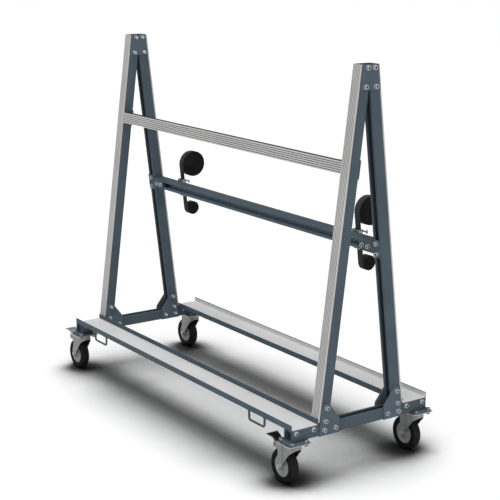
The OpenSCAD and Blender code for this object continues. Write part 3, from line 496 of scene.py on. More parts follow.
def softened(node, width, segments=2, reshape=None):
    """A copy of a CAD node with its sharp edges rounded, marked by the attribute edge."""
    mesh = frame["nodes"][node].data.copy()
    mesh.materials.clear()
    shape = bmesh.new()
    shape.from_mesh(mesh)
    bmesh.ops.remove_doubles(shape, verts=shape.verts, dist=1e-5)
    bmesh.ops.dissolve_limit(
        shape, angle_limit=math.radians(0.8), verts=shape.verts, edges=shape.edges
    )
    for face in shape.faces:
        face.smooth = True
        face.material_index = 0
    if reshape:
        reshape(shape)
    shape.to_mesh(mesh)
    shape.free()
    for layer in list(mesh.attributes):
        if layer.name.startswith("custom_normal"):
            mesh.attributes.remove(layer)
    piece = add_object("soft_" + node, mesh)
    bevel = piece.modifiers.new("edges", "BEVEL")
    bevel.width = width * MM
    bevel.segments = segments
    bevel.limit_method = "ANGLE"
    bevel.angle_limit = math.radians(34)
    bevel.use_clamp_overlap = True
    bevel.harden_normals = True
    # Faces of the bevel take the second of two empty slots, which tells them from the others
    bevel.material = 1
    for _ in range(2):
        mesh.materials.append(None)
    make_plain(piece)
    faces = piece.data.polygons
    edge = [float(face.material_index == 1) for face in faces]
    add_values(piece.data, "edge", edge, place="FACE")
    for face in faces:
        face.material_index = 0
    return piece


# Fasteners, made by Geometry Nodes


def node_tree(name, inputs):
    """A geometry tree with named inputs, the inputs' Terms and the sockets' identifiers."""
    tree = bpy.data.node_groups.new(name, "GeometryNodeTree")
    sockets = tree.interface
    sockets.new_socket(name="Geometry", in_out="INPUT", socket_type="NodeSocketGeometry")
    sockets.new_socket(name="Geometry", in_out="OUTPUT", socket_type="NodeSocketGeometry")
    names = {}
    for label, value in inputs.items():
        kind = "NodeSocketMaterial" if label == "Finish" else "NodeSocketFloat"
        socket = sockets.new_socket(name=label, in_out="INPUT", socket_type=kind)
        if label != "Finish":
            socket.default_value = value
        names[label] = socket.identifier
    start = tree.nodes.new("NodeGroupInput")
    terms = {label: Term(tree, start.outputs[label]) for label in ["Geometry", *inputs]}
    return tree, terms, names


def frustum(sheet, sides, low, high, base, rise, inward=False, recess=0.0):
    """One band of a turned shape: radius low at height base, radius high a rise further up."""
    band = sheet.make(
        "GeometryNodeMeshCone",
        {"fill_type": "NONE"},
        Vertices=sides,
        Radius_Top=high,
        Radius_Bottom=low,
        Depth=rise,
    )
    if inward:
        band = sheet.make("GeometryNodeFlipFaces", Mesh=band)
    place = sheet.make("ShaderNodeCombineXYZ", Z=base)
    band = sheet.make("GeometryNodeTransform", Geometry=band, Translation=place)
    # A band can carry painted shade: dark socket holes, and nuts that sit in shade
    if recess:
        settings = {"data_type": "FLOAT", "domain": "FACE"}
        band = sheet.make(
            "GeometryNodeStoreNamedAttribute", settings, Geometry=band, Name="recess", Value=recess
        )
    return band


def put_on_points(sheet, shape, material):
    """Sets a shape on every point, its Z along the attribute way and turned by spin."""
    named = "GeometryNodeInputNamedAttribute"
    way = sheet.make(named, {"data_type": "FLOAT_VECTOR"}, Name="way")
    spin = sheet.make(named, {"data_type": "FLOAT"}, Name="spin")
    aim = sheet.make("FunctionNodeAlignRotationToVector", {"axis": "Z"}, Vector=way)
    about = sheet.make("FunctionNodeAxisAngleToRotation", Axis=(0.0, 0.0, 1.0), Angle=spin)
    local = {"rotation_space": "LOCAL"}
    aim = sheet.make("FunctionNodeRotateRotation", local, Rotation=aim, Rotate_By=about)
    rows = sheet.make("GeometryNodeInstanceOnPoints", Points=sheet, Instance=shape, Rotation=aim)
    rows = sheet.make("GeometryNodeRealizeInstances", Geometry=rows)
    rows = sheet.make("GeometryNodeSetMaterial", Geometry=rows, Material=material)
    sheet.make("NodeGroupOutput", Geometry=rows)


# A rise small enough to count as flat, in metres, and a hexagon's corner radius over its flats
FLAT = 1e-5
HEXAGON = 1 / math.sqrt(3)


def bolt_tree(name, socket_head=False):
    """A flanged bolt with a hexagon or a round socket head, and a nut and stud below its grip."""
    inputs = {"Diameter": 0.01, "Flats": 0.016, "Grip": 0.05, "Socket": 0.5, "Nut": 1.0}
    tree, given, names = node_tree(name, {**inputs, "Finish": None})
    sheet = given["Geometry"]
    size, across, grip = given["Diameter"], given["Flats"], given["Grip"]
    hexagon = across * HEXAGON
    flange = across * 0.61
    seat = size * 0.15
    hole = across * given["Socket"] * 0.5
    shank = size * 0.5
    under = 0.0 - grip
    nut = size * 0.8 * given["Nut"]
    stud = size * 0.25 * given["Nut"]
    low = under - nut
    chamfer = size * 0.08
    # A band's seventh number, where given, is how much painted shade it carries
    bands = [(24, shank, flange * 0.98, 0.0, FLAT, True), (16, shank, shank, under, grip)]
    if socket_head:
        head = across * 0.5
        top = size * 0.64
        crown = size * 0.1
        bands += [
            (24, flange * 0.98, flange, 0.0, seat * 0.4),
            (24, flange, head, seat * 0.4, seat * 0.6),
            (24, head, head, seat, top - seat - crown),
            (24, head, head * 0.86, top - crown, crown),
            (24, head * 0.86, hole * 1.1, top, FLAT),
            (6, hole, hole * 1.1, top * 0.35, top * 0.65, True, 0.7),
            (6, hole, 0.0, top * 0.35, FLAT, False, 0.85),
            (6, shank, hexagon, under - FLAT, FLAT, False, 0.55),
            (6, hexagon, hexagon, low + chamfer, nut - chamfer, False, 0.55),
            (6, hexagon * 0.9, hexagon, low, chamfer, False, 0.55),
            (6, shank, hexagon * 0.9, low, FLAT, True, 0.55),
            (16, shank * 0.9, shank, low - stud, size * 0.25, False, 0.55),
            (16, 0.0, shank * 0.9, low - stud, FLAT, True, 0.55),
        ]
    else:
        top = size * 0.79
        crown = size * 0.09
        deep = size * 0.34
        rim = across * 0.53
        inner = hexagon * 0.9
        bands += [
            (24, flange * 0.98, flange, 0.0, seat * 0.35),
            (24, flange, across * 0.5, seat * 0.35, seat * 0.9),
            (6, hexagon, hexagon, seat * 0.6, top - seat * 0.6 - crown),
            (6, hexagon, hexagon * 0.88, top - crown, crown),
            (6, hexagon * 0.88, hole * 1.12, top, FLAT),
            (6, hole * 0.94, hole * 1.12, top - deep, deep, True, 0.7),
            (6, hole * 0.94, 0.0, top - deep, FLAT, False, 0.8),
            (24, shank, rim, under - FLAT, FLAT),
            (24, across * 0.46, rim, under - seat, seat),
            (6, inner * 0.9, inner, low, chamfer),
            (6, inner, inner, low + chamfer, nut - seat - chamfer),
            (6, shank * 1.06, inner * 0.9, low, FLAT, True),
            (16, 0.0, shank * 0.86, low - stud, FLAT, True),
        ]
        thread = stud * (1 / 6)
        for ring in range(3):
            base = low - stud * ((ring + 1) / 3)
            bands.append((16, shank * 0.86, shank, base, thread))
            bands.append((16, shank, shank * 0.86, base + thread, thread))
    bands = [frustum(sheet, *band) for band in bands]
    shape = sheet.make("GeometryNodeJoinGeometry", Geometry=bands)
    shape = sheet.make("GeometryNodeMergeByDistance", Geometry=shape, Distance=FLAT * 2)
    put_on_points(sheet, shape, given["Finish"])
    return tree, names


def bar_tree():
    """Rounded bars along the attribute way: ribs, ridges and blocks."""
    tree, given, names = node_tree(
        "bars", {"Length": 0.03, "Width": 0.003, "Height": 0.002, "Finish": None}
    )
    sheet = given["Geometry"]
    length, width, height = given["Length"], given["Width"], given["Height"]
    cubes = []
    for x, y, z in ((width, height * 0.6, length), (width * 0.65, height, length - width * 0.3)):
        size = sheet.make("ShaderNodeCombineXYZ", X=x, Y=y, Z=z)
        cubes.append(sheet.make("GeometryNodeMeshCube", Size=size))
    shape = sheet.make("GeometryNodeJoinGeometry", Geometry=cubes)
    shape = sheet.make("GeometryNodeConvexHull", Geometry=shape)
    put_on_points(sheet, shape, given["Finish"])
    return tree, names


def grown(name, tree_and_names, rows, look, **sizes):
    """A plain mesh from a geometry tree on rows of (place, way, spin in degrees)."""
    tree, names = tree_and_names
    mesh = bpy.data.meshes.new(name)
    mesh.from_pydata([row[0] for row in rows], [], [])
    add_values(mesh, "way", [row[1] for row in rows], "FLOAT_VECTOR")
    add_values(mesh, "spin", [math.radians(row[2]) for row in rows])
    piece = add_object(name, mesh)
    nodes = piece.modifiers.new("rows", "NODES")
    nodes.node_group = tree
    for label, value in sizes.items():
        nodes[names[label]] = value if label in ("Socket", "Nut") else value * MM
    nodes[names["Finish"]] = finish(look)
    make_plain(piece)
    return smoothed(piece, 28)


def merge_pieces(name, pieces):
    """Joins plain pieces into a new one."""
    shape = bmesh.new()
    for piece in pieces:
        shape.from_mesh(piece.data)
    mesh = bpy.data.meshes.new(name)
    shape.to_mesh(mesh)
    shape.free()
    for piece in pieces:
        old = piece.data
        bpy.data.objects.remove(piece)
        bpy.data.meshes.remove(old)
    return add_object(name, mesh)


# Settings


def tint(name, description, *shade):
    """A colour that a user can change, given as a screen shows it."""
    return bpy.props.FloatVectorProperty(
        name=name,
        description=description,
        subtype="COLOR",
        default=colour(*shade)[:3],
        min=0.0,
        max=1.0,
    )


def amount(name, description, default, low, high, **more):
    """A number that a user can change between two limits."""
    return bpy.props.FloatProperty(
        name=name, description=description, default=default, min=low, max=high, **more
    )


class CartColours(bpy.types.PropertyGroup):
    """Colours of the cart's finishes."""

    paint: tint("Paint", "Powder coat of the frame, rails and trays", 80, 92, 101)
    strip: tint("Strips", "Ribbed strips on the uprights and the front rail", 199, 199, 198)
    deck: tint("Deck", "Liner sheets of the two decks", 207, 207, 207)
    hub: tint("Hubs", "Moulded hubs of the wheels", 145, 146, 147)


class CartEdges(bpy.types.PropertyGroup):
    """How round the softened edges are, in millimetres."""

    sheet_edge: amount("Sheet edges", "Rounding of the painted sheet, in mm", 0.8, 0.1, 1.2)
    strip_edge: amount("Strip edges", "Rounding of the ribs, in mm", 0.7, 0.1, 1.0)
    steel_edge: amount("Steel edges", "Rounding of casters and buckles, in mm", 0.7, 0.1, 0.9)


class StrapSettings(bpy.types.PropertyGroup):
    """The rolled lashing straps, in millimetres."""

    width: amount("Width", "Width of the webbing, in mm", 30.0, 20.0, 32.0)
    thickness: amount("Thickness", "Thickness of the rolled webbing, in mm", 1.84, 1.2, 1.9)
    drift: amount("Drift", "How far a roll's turns stand out of line, in mm", 0.5, 0.0, 1.0)


class StudioSettings(bpy.types.PropertyGroup):
    """The studio's lamps."""

    key_level: amount("Key", "Strength of the overhead key lamp", 2.0, 0.0, 10.0)
    key_spread: amount(
        "Key spread",
        "Angle over which the key lamp's light comes",
        math.radians(30),
        0.0,
        math.radians(90),
        subtype="ANGLE",
    )
    fill_level: amount("Fill", "Strength of each of the two low fill lamps", 0.56, 0.0, 4.0)
    sky_level: amount("Sky", "Strength of the light from all round", 0.3, 0.0, 2.0)


# Pieces


class CART_OT_stage(bpy.types.Operator):
    """Floor, background, lamps and camera"""

    bl_idname = "cart.stage"
    bl_label = "Studio"

    # The floor's half size and how far from a piece its painted shadow reaches, in metres
    ground = 14.0
    reach = 0.38

    def floor(self):
        """A white floor with a painted shadow: greyer and then black where a piece stands close to
        it.
        """
        mesh = bpy.data.meshes.new("floor")
        shape = bmesh.new()
        bmesh.ops.create_grid(shape, x_segments=1, y_segments=1, size=self.ground)
        shape.to_mesh(mesh)
        shape.free()
        floor = add_object("floor", mesh)
        material, coords = new_material("floor_white")
        samples = {"samples": 24}
        near = coords.make("ShaderNodeAmbientOcclusion", samples, "AO", Distance=self.reach)
        speck = noise(coords, 260) - 0.5
        along = coords.make("ShaderNodeSeparateXYZ", output="X", Vector=coords)
        away = abs(along - MIDDLE_X * MM)
        # The painted shadow is made lighter towards the cart's two ends
        near = near + ramped(away, 0.35, 0.6) * 0.06
        white = mixed(ramped(near, 0.86, 0.99), colour(238, 238, 238), colour(255, 255, 255))
        base = mixed(ramped(near + speck * 0.14, 0.66, 0.945), colour(64, 64, 64), white)
        base = mixed(ramped(near, 0.2, 0.6), colour(4, 4, 4), base)
        shader = coords.make("ShaderNodeBsdfDiffuse", Color=base)
        coords.make("ShaderNodeOutputMaterial", Surface=shader)
        mesh.materials.append(material)

    def background(self, context, level):
        """White behind the cart and in its reflections, and a softer light from all round."""
        world = bpy.data.worlds.new("studio")
        world.use_nodes = True
        world.node_tree.nodes.clear()
        air = Term(world.node_tree)
        rays = air.make("ShaderNodeLightPath", output="Is Camera Ray")
        seen = air.sum("MAXIMUM", rays, rays.out("Is Glossy Ray"))
        seen = air.sum("MAXIMUM", seen, rays.out("Is Transmission Ray"))
        light = seen * (1 - level) + level
        back = air.make("ShaderNodeBackground", Color=(1.0, 1.0, 1.0, 1.0), Strength=light)
        air.make("ShaderNodeOutputWorld", Surface=back)
        context.scene.world = world

    def sun(self, name, level, spread, turn):
        """A far lamp that shines down, turned by angles in degrees."""
        lamp = bpy.data.lights.new(name, "SUN")
        lamp.energy = level
        lamp.angle = spread
        lamp.specular_factor = 0.5
        add_object(name, lamp).rotation_euler = tuple(math.radians(angle) for angle in turn)

    def camera(self, context):
        """A long lens, turned to the left by yaw, up by pitch and about its axis by roll."""
        eye = bpy.data.cameras.new("camera")
        eye.lens = 94.94
        eye.sensor_width = 36.0
        eye.sensor_fit = "HORIZONTAL"
        eye.clip_end = 60.0
        camera = add_object("camera", eye)
        yaw, pitch, roll = 54.983, -13.483, 0.355
        place = Matrix.Translation(at(4062.84, -2783.31, 1820.41))
        for angle, axis in ((yaw, "Z"), (90 + pitch, "X"), (roll, "Z")):
            place @= Matrix.Rotation(math.radians(angle), 4, axis)
        camera.matrix_world = place
        context.scene.camera = camera

    def execute(self, context):
        settings = context.scene.studio_settings
        self.floor()
        self.background(context, settings.sky_level)
        self.sun("key", settings.key_level, settings.key_spread, (6, 0, 0))
        wide = math.radians(50)
        self.sun("fill_front", settings.fill_level, wide, (68, 0, 12))
        self.sun("fill_end", settings.fill_level, wide, (68, 0, 84))
        self.camera(context)
        context.scene.view_settings.view_transform = "Standard"
        return {"FINISHED"}


class CART_OT_cad_finishes(bpy.types.Operator):
    """The CAD nodes whose shape is right get their finish"""

    bl_idname = "cart.cad_finishes"
    bl_label = "Finishes of the CAD nodes"

    def execute(self, context):
        for name, node in frame["nodes"].items():
            for place in node.material_slots:
                place.material = finish(SLOTS[name])
        return {"FINISHED"}


class CART_OT_painted_frame(bpy.types.Operator):
    """Uprights, rails, plates and trays with softened edges and powder coat"""

    bl_idname = "cart.painted_frame"
    bl_label = "Painted frame"

    # Each rail's side and how dark the painted shade on its top flange is
    painted_top_shades = {"front_rail": (-1, 1.0), "rear_rail": (1, 0.42)}

    # The least share of a way that a face square to it has, and the web's depth in metres
    square = 0.9
    web_depth = 0.01

    def shade_rail(self, piece, side, level):
        """Marks a rail's top flange for painted shade, and the inside of its channel for painted
        light.
        """
        way = lean_way(1, side)
        slope = slope_way(side)
        faces = piece.data.polygons
        rises = [face.center.dot(slope) for face in faces]
        middle = (max(rises) + min(rises)) / 2
        web = max(face.center.dot(way) for face in faces) - self.web_depth
        upper, inner = [], []
        for face, rise in zip(faces, rises):
            facing = face.normal.dot(slope)
            # The top flange gets painted shade
            upper.append(level * float(facing > self.square and rise > middle))
            # Painted light goes on the channel's inside: its web and the flanges' inner sides
            in_web = face.normal.dot(way) < -self.square and face.center.dot(way) > web
            in_flange = abs(facing) > self.square and facing * (rise - middle) < 0
            inner.append(float(in_web or in_flange))
        add_values(piece.data, "upper", upper, place="FACE")
        add_values(piece.data, "inner", inner, place="FACE")

    def execute(self, context):
        width = context.scene.cart_edges.sheet_edge
        for node in nodes_with("slate_paint"):
            if node == "lashing_loops":
                continue
            plate = node.endswith(("gussets", "top_plates"))
            piece = softened(node, width)
            if node in self.painted_top_shades:
                self.shade_rail(piece, *self.painted_top_shades[node])
            look = "plate_paint" if plate else "slate_paint"
            hand_over(piece, "frame", "slate_paint", node, look=look)
        return {"FINISHED"}


class CART_OT_strips(bpy.types.Operator):
    """Ribbed strips on the uprights and the front rail"""

    bl_idname = "cart.strips"
    bl_label = "Ribbed strips"

    # How far below a strip's face lie the grooves' walls that get painted shade
    groove_low = 1.4
    groove_deep = 3.4

    def execute(self, context):
        width = context.scene.cart_edges.strip_edge
        for node in nodes_with("ribbed_strip"):
            piece = softened(node, width)
            way = lean_way(1, -1 if "front" in node or node == "rail_strip" else 1)
            heights = [point.co.dot(way) / MM for point in piece.data.vertices]
            low = max(heights) - self.groove_deep
            high = max(heights) - self.groove_low
            add_values(piece.data, "groove", [float(low < height < high) for height in heights])
            hand_over(piece, "frame", "ribbed_strip", node)
        return {"FINISHED"}


class CART_OT_deck_liners(bpy.types.Operator):
    """Pale liners of the two decks"""

    bl_idname = "cart.deck_liners"
    bl_label = "Deck liners"

    edge_round = 0.3
    edge_band = 2
    edge_drop = 1.5

    def lower_edge(self, shape):
        """The upstand's edge ends a little lower than in the CAD model."""
        top = max(point.co.z for point in shape.verts)
        for point in shape.verts:
            if point.co.z > top - self.edge_band * MM:
                point.co.z -= self.edge_drop * MM

    def execute(self, context):
        for node in nodes_with("deck_liner"):
            piece = softened(node, self.edge_round, reshape=self.lower_edge)
            hand_over(piece, "frame", "deck_liner", node)
        return {"FINISHED"}


class CART_OT_lashing_loops(bpy.types.Operator):
    """Bent rods under the decks, with weld fillets at their tops"""

    bl_idname = "cart.lashing_loops"
    bl_label = "Lashing loops"

    loop_x = 558
    loop_y = 294.5
    rod_radius = 4

    def execute(self, context):
        half, low, bend, top = 46, 173.5, 10, CROSS_TOP
        path = [(-half, top), (-half, top - 8)]
        path += arc((bend - half, low + bend), bend, 180, 270, 8)
        path += arc((half - bend, low + bend), bend, 270, 360, 8)
        path += [(half, top - 8), (half, top)]
        bead = [(3.6, 0), (3.6, -5), (4.2, -4.4), (4.7, -2.6), (5.8, -1.2), (7.2, -0.5), (7.6, 0)]
        parts = []
        points, faces = rod(path, self.rod_radius)
        for side, end in product(BOTH, repeat=2):
            middle, y = side * self.loop_x, end * self.loop_y
            parts.append(([point + at(middle, y, 0) for point in points], faces))
            for x in (middle - half, middle + half):
                parts.append(turned(bead, 16, at(x, y, top), "Z"))
        piece = smoothed(shaped("lashing_rods", *parts), 50)
        hand_over(piece, "frame", "slate_paint", "lashing_loops")
        return {"FINISHED"}


class CART_OT_frame_fasteners(bpy.types.Operator):
    """Bolts, nuts, rail blocks and screws of the frame"""

    bl_idname = "cart.frame_fasteners"
    bl_label = "Bolts and screws"

    # The bolts' seats on the end frames, the decks' tabs and the rails, and the rails' blocks
    frame_seat = 770
    tab_seat = (766.5, 197.75)
    rail_seat = -44
    rail_block = -30.7
    m10 = {"Diameter": 10, "Flats": 14.8, "Socket": 0.56}

    def end_bolts(self, tree):
        """Along each upright: two bolts in the gusset, two in the top plate and two at the foot."""
        foot = 188.5
        outer = upright_middle_y(foot)
        places = [(height, upright_middle_y(height)) for height in (219, 264, 1401, 1339.5)]
        places += [(foot, outer), (foot, outer - 48)]
        rows = []
        for side, end, (i, (height, y)) in product(BOTH, BOTH, enumerate(places)):
            seat = at(side * self.frame_seat, end * y, height)
            rows.append((seat, (side, 0, 0), (i * 37 + side * 11 + end * 23) % 60))
        piece = grown("end_frame_bolts", tree, rows, "bolt_steel", Grip=51, Nut=1.0, **self.m10)
        hand_over(piece, "frame", "zinc_steel", "frame_bolts", look="bolt_steel")

    def rail_bolts(self, tree):
        """Bolts into blocks behind the lips of both rails, and the buckles' bolts."""
        rails = ((-1, FRONT_RAIL), (1, REAR_RAIL))
        places = [(FRAME_X, 18.5), (FRAME_X, -18.5), (699, 0), (668, 0)]
        rows, across, along = [], [], []
        for (side_y, height), side, (i, (x, up)) in product(rails, BOTH, enumerate(places)):
            seat = on_lean(side * x, self.rail_seat, up, height, side_y)
            rows.append((seat, lean_way(-1, side_y), (i * 31 + side * 17) % 60))
            block = on_lean(side * x, self.rail_block, up, height, side_y)
            if i > 1:
                along.append((block, slope_way(side_y), 0))
            else:
                across.append((block, (1, 0, 0), 90))
        block = {"Length": 32.8, "Width": 16, "Height": 8}
        bars = bar_tree()
        pieces = [
            grown("rail_bolt_heads", tree, rows, "bolt_steel", Grip=17, Nut=0.02, **self.m10),
            grown("rail_blocks_across", bars, across, "bolt_steel", **block),
            grown("rail_blocks_along", bars, along, "bolt_steel", **block),
        ]
        rows = [(on_lean(side * STRAP_X, 2, -12, REAR_RAIL), lean_way(1), 0) for side in BOTH]
        m6 = {"Diameter": 6, "Flats": 10, "Grip": 4.5, "Socket": 0.5, "Nut": 1.0}
        pieces.append(grown("buckle_bolt_heads", tree, rows, "bolt_steel", **m6))
        piece = smoothed(merge_pieces("rail_fasteners", pieces), 28)
        hand_over(piece, "frame", "zinc_steel", "rail_bolts", look="bolt_steel")

    def deck_bolts(self):
        """Two socket head bolts in each of the decks' tabs."""
        seat_x, seat_z = self.tab_seat
        middle = (TRAY_INNER + TRAY_OUTER) / 2
        half = (TRAY_OUTER - TRAY_INNER - 39) / 2
        rows = []
        for side, end, place in product(BOTH, repeat=3):
            seat = at(side * seat_x, end * (middle + place * half), seat_z)
            rows.append((seat, (side, 0, 0), 13 * place + 7 * end))
        m8 = {"Diameter": 8, "Flats": 14.5, "Grip": 42.5, "Socket": 0.56, "Nut": 1.0}
        tree = bolt_tree("socket_bolt", socket_head=True)
        piece = grown("deck_tab_bolts", tree, rows, "bolt_steel", **m8)
        hand_over(piece, "frame", "zinc_steel", "deck_bolts", look="bolt_steel")

    def caster_bolts(self, tree):
        """Four bolts up through each caster's plate."""
        rows = []
        for (side, end), x, y in product(CORNERS.values(), (-32, 32), (-28, 28)):
            seat = by_caster(side, end, -x, y, CROSS_BOTTOM)
            rows.append((seat, (0, 0, 1), (x + y) * 3 % 60))
        m8 = {"Diameter": 8, "Flats": 14, "Grip": 10, "Socket": 0.62, "Nut": 1.0}
        piece = grown("caster_plate_bolts", tree, rows, "dull_bolt", **m8)
        hand_over(piece, "frame", "zinc_steel", "caster_bolts", look="dull_bolt")

    def execute(self, context):
        tree = bolt_tree("flanged_bolt")
        self.end_bolts(tree)
        self.rail_bolts(tree)
        self.deck_bolts()
        self.caster_bolts(tree)
        return {"FINISHED"}


class CART_OT_caster_plates(bpy.types.Operator):
    """Zinc top plates and the swivels' ball races"""

    bl_idname = "cart.caster_plates"
    bl_label = "Caster plates"

    # The slots' middles from the swivel's, their half sizes, and the race's (radius, height)
    slot_x, slot_y = 13, 40
    slot_half = (7.5, 3)
    race = [
        (0, 146.7), (9.5, 146.7), (10.6, 147.3), (11, 148.4), (11, 150), (10.4, 150.7),
        (5.98, 150.7), (5.98, 155.3), (19.5, 155.3), (21.2, 155.6), (22, 156.3),
        (21.5, 156.9), (21.5, 157.2), (22, 157.7), (22, 158), (0, 158),
    ]

    def in_slot(self, face):
        """Whether a face is a wall of one of the slots in the plates' edges."""
        x = abs(face.center.x / MM - MIDDLE_X) - FRAME_X
        y = abs(face.center.y / MM) - CASTER_Y
        half_x, half_y = self.slot_half
        near = abs(abs(x) - self.slot_x) < half_x and abs(abs(y) - self.slot_y) < half_y
        return near and abs(face.normal.z) < 0.5

    def execute(self, context):
        plates = softened("caster_top_plates", context.scene.cart_edges.steel_edge)
        # The slots' walls get painted shade
        recess = [float(self.in_slot(face)) for face in plates.data.polygons]
        add_values(plates.data, "recess", recess, place="FACE")
        hand_over(plates, "frame", "zinc_steel", "caster_top_plates")
        parts = [turned(self.race, 40, by_caster(*corner), "Z") for corner in CORNERS.values()]
        piece = smoothed(shaped("ball_races", *parts), 32)
        hand_over(piece, "frame", "zinc_steel", "swivel_bearings")
        return {"FINISHED"}


class CART_OT_forks(bpy.types.Operator):
    """Pressed forks and their axles"""

    bl_idname = "cart.forks"
    bl_label = "Forks"

    # Where a flank lies out from the swivel's middle, and below which height
    flank_low, flank_high, flank_top = 21.5, 24, 149
    axle_seat = -22.5

    # Depth, which drives the painted shade inside a fork, counts down from here, since pieces
    # without it read 0 and have to stay unshaded
    deepest = 200.0
    nowhere = -100.0

    def shade_fork(self, piece, middle):
        """Marks how far each flank runs back and how deep inside the fork its faces are, for
        painted shade.
        """
        back, depth = [], []
        for face in piece.data.polygons:
            reach = (face.center.y - middle.y) / MM
            out = abs(reach)
            flank = abs(face.normal.y) > 0.7 and face.center.z < self.flank_top * MM
            turned_in = flank and face.normal.y * reach < 0 and out < self.flank_high
            inside = turned_in or face.normal.z < -0.7
            for corner in face.vertices:
                run = (middle.x - piece.data.vertices[corner].co.x) / MM
                back.append(run if flank and out > self.flank_low else self.nowhere)
                depth.append(self.deepest - run if inside else 0.0)
        add_values(piece.data, "back", back, place="CORNER")
        add_values(piece.data, "depth", depth, place="CORNER")

    def execute(self, context):
        width = context.scene.cart_edges.steel_edge
        tree = bolt_tree("axle_bolt")
        m10 = {"Diameter": 10, "Flats": 16, "Grip": 45, "Socket": 0.12, "Nut": 1.0}
        for corner, (side, end) in CORNERS.items():
            piece = softened(corner + "_fork", width, segments=3)
            self.shade_fork(piece, by_caster(side, end))
            hand_over(piece, corner + "_swivel", "fork_zinc", corner + "_fork")
            seat = by_caster(side, end, AXLE_BACK, self.axle_seat, AXLE_Z)
            rows = [(seat, (0, -1, 0), 20)]
            piece = grown(corner + "_axle_bolt", tree, rows, "zinc_steel", **m10)
            hand_over(piece, corner + "_swivel", "zinc_steel", corner + "_axle")
        return {"FINISHED"}


class CART_OT_wheels(bpy.types.Operator):
    """Tyres with a crowned tread and hubs with a dished face"""

    bl_idname = "cart.wheels"
    bl_label = "Wheels"

    # Half profiles as (radius, along), and the tread's start, where its dust begins
    tyre_half = (
        [(38.5, 14.8), (39.7, 15.8), (44, 17), (47.5, 17.3), (49, 16.9), (50.5, 17.4)]
        + arc((52.1, 7.4), 10, 90, 20, 9)
        + [(62.4, 6.4), (62.5, 2.5)]
    )
    hub_half = [
        (5.05, 19.1), (9.5, 19.1), (10.2, 18.2), (11.6, 18.2), (12.3, 19.1), (14.0, 19.1),
        (15.0, 18.3), (15.6, 13.6), (17.5, 12.4), (20, 12.1), (25, 12.1), (29.5, 12.4),
        (32.6, 13.2), (33.8, 14.2), (35, 14.5), (37.8, 14.5), (38.6, 14.0),
    ]
    tread_start, tread_rise = 57.5, 3

    def mirrored(self, half):
        return half + [(radius, -along) for radius, along in reversed(half)]

    def execute(self, context):
        for corner, (side, end) in CORNERS.items():
            middle = by_caster(side, end, AXLE_BACK, 0.0, AXLE_Z)
            tyre = shaped(corner + "_tread", turned(self.mirrored(self.tyre_half), 112, middle))
            smoothed(tyre, 40)
            tread = []
            for point in tyre.data.vertices:
                reach = math.hypot(point.co.x - middle.x, point.co.z - middle.z) / MM
                tread.append(min(1.0, max(0.0, (reach - self.tread_start) / self.tread_rise)))
            add_values(tyre.data, "tread", tread)
            hand_over(tyre, corner + "_wheel", "tyre_rubber", corner + "_tyre")
            hub = shaped(corner + "_wheel_disc", turned(self.mirrored(self.hub_half), 80, middle))
            smoothed(hub, 34)
            hand_over(hub, corner + "_wheel", "hub_plastic", corner + "_hub")
        return {"FINISHED"}


class CART_OT_pedals(bpy.types.Operator):
    """Brake pedals with ribs across their tips"""

    bl_idname = "cart.pedals"
    bl_label = "Brake pedals"

    # A pedal's blade starts 16 mm from its pivot, and there its top is 20 mm above the pivot
    blade_start, blade_rise = 16, 20
    rib_reaches = (24, 30, 36, 42)

    def thinned(self, side, widening):
        """Thins a pedal's blade from below and widens it towards its tip."""
        pivot = by_caster(side, -1, PIVOT_BACK, 0.0, PIVOT_Z)

        def reshape(shape):
            for point in shape.verts:
                reach = (pivot.x - point.co.x) / MM
                top = pivot.z + (self.blade_rise + (reach - self.blade_start) * 0.09) * MM
                if reach > 14 and point.co.z < top:
                    point.co.z = top - (top - point.co.z) * 0.42
                if reach > 8:
                    point.co.y += (point.co.y - pivot.y) * widening * (reach - 7) / 42

        return reshape

    def execute(self, context):
        bars = bar_tree()
        for corner, look, half, widening in (
            ("front_left", "fork_zinc", 20, 0.0),
            ("front_right", "pedal_black", 19, 0.22),
        ):
            side, end = CORNERS[corner]
            node = corner + "_pedal"
            blade = softened(node, 0.8, segments=3, reshape=self.thinned(side, widening))
            rows = []
            for reach in self.rib_reaches:
                rise = self.blade_rise + (reach - self.blade_start) / 33.3 * 3
                seat = by_caster(side, end, PIVOT_BACK + reach, 0.0, PIVOT_Z + rise)
                rows.append((seat, (0, 1, 0), -90))
            rib = {"Length": half * 1.5, "Width": 2.4, "Height": 1.4}
            ribs = grown(corner + "_pedal_ribs", bars, rows, look, **rib)
            hand_over(blade, corner + "_brake", look, node)
            hand_over(ribs, corner + "_brake", look)
        return {"FINISHED"}


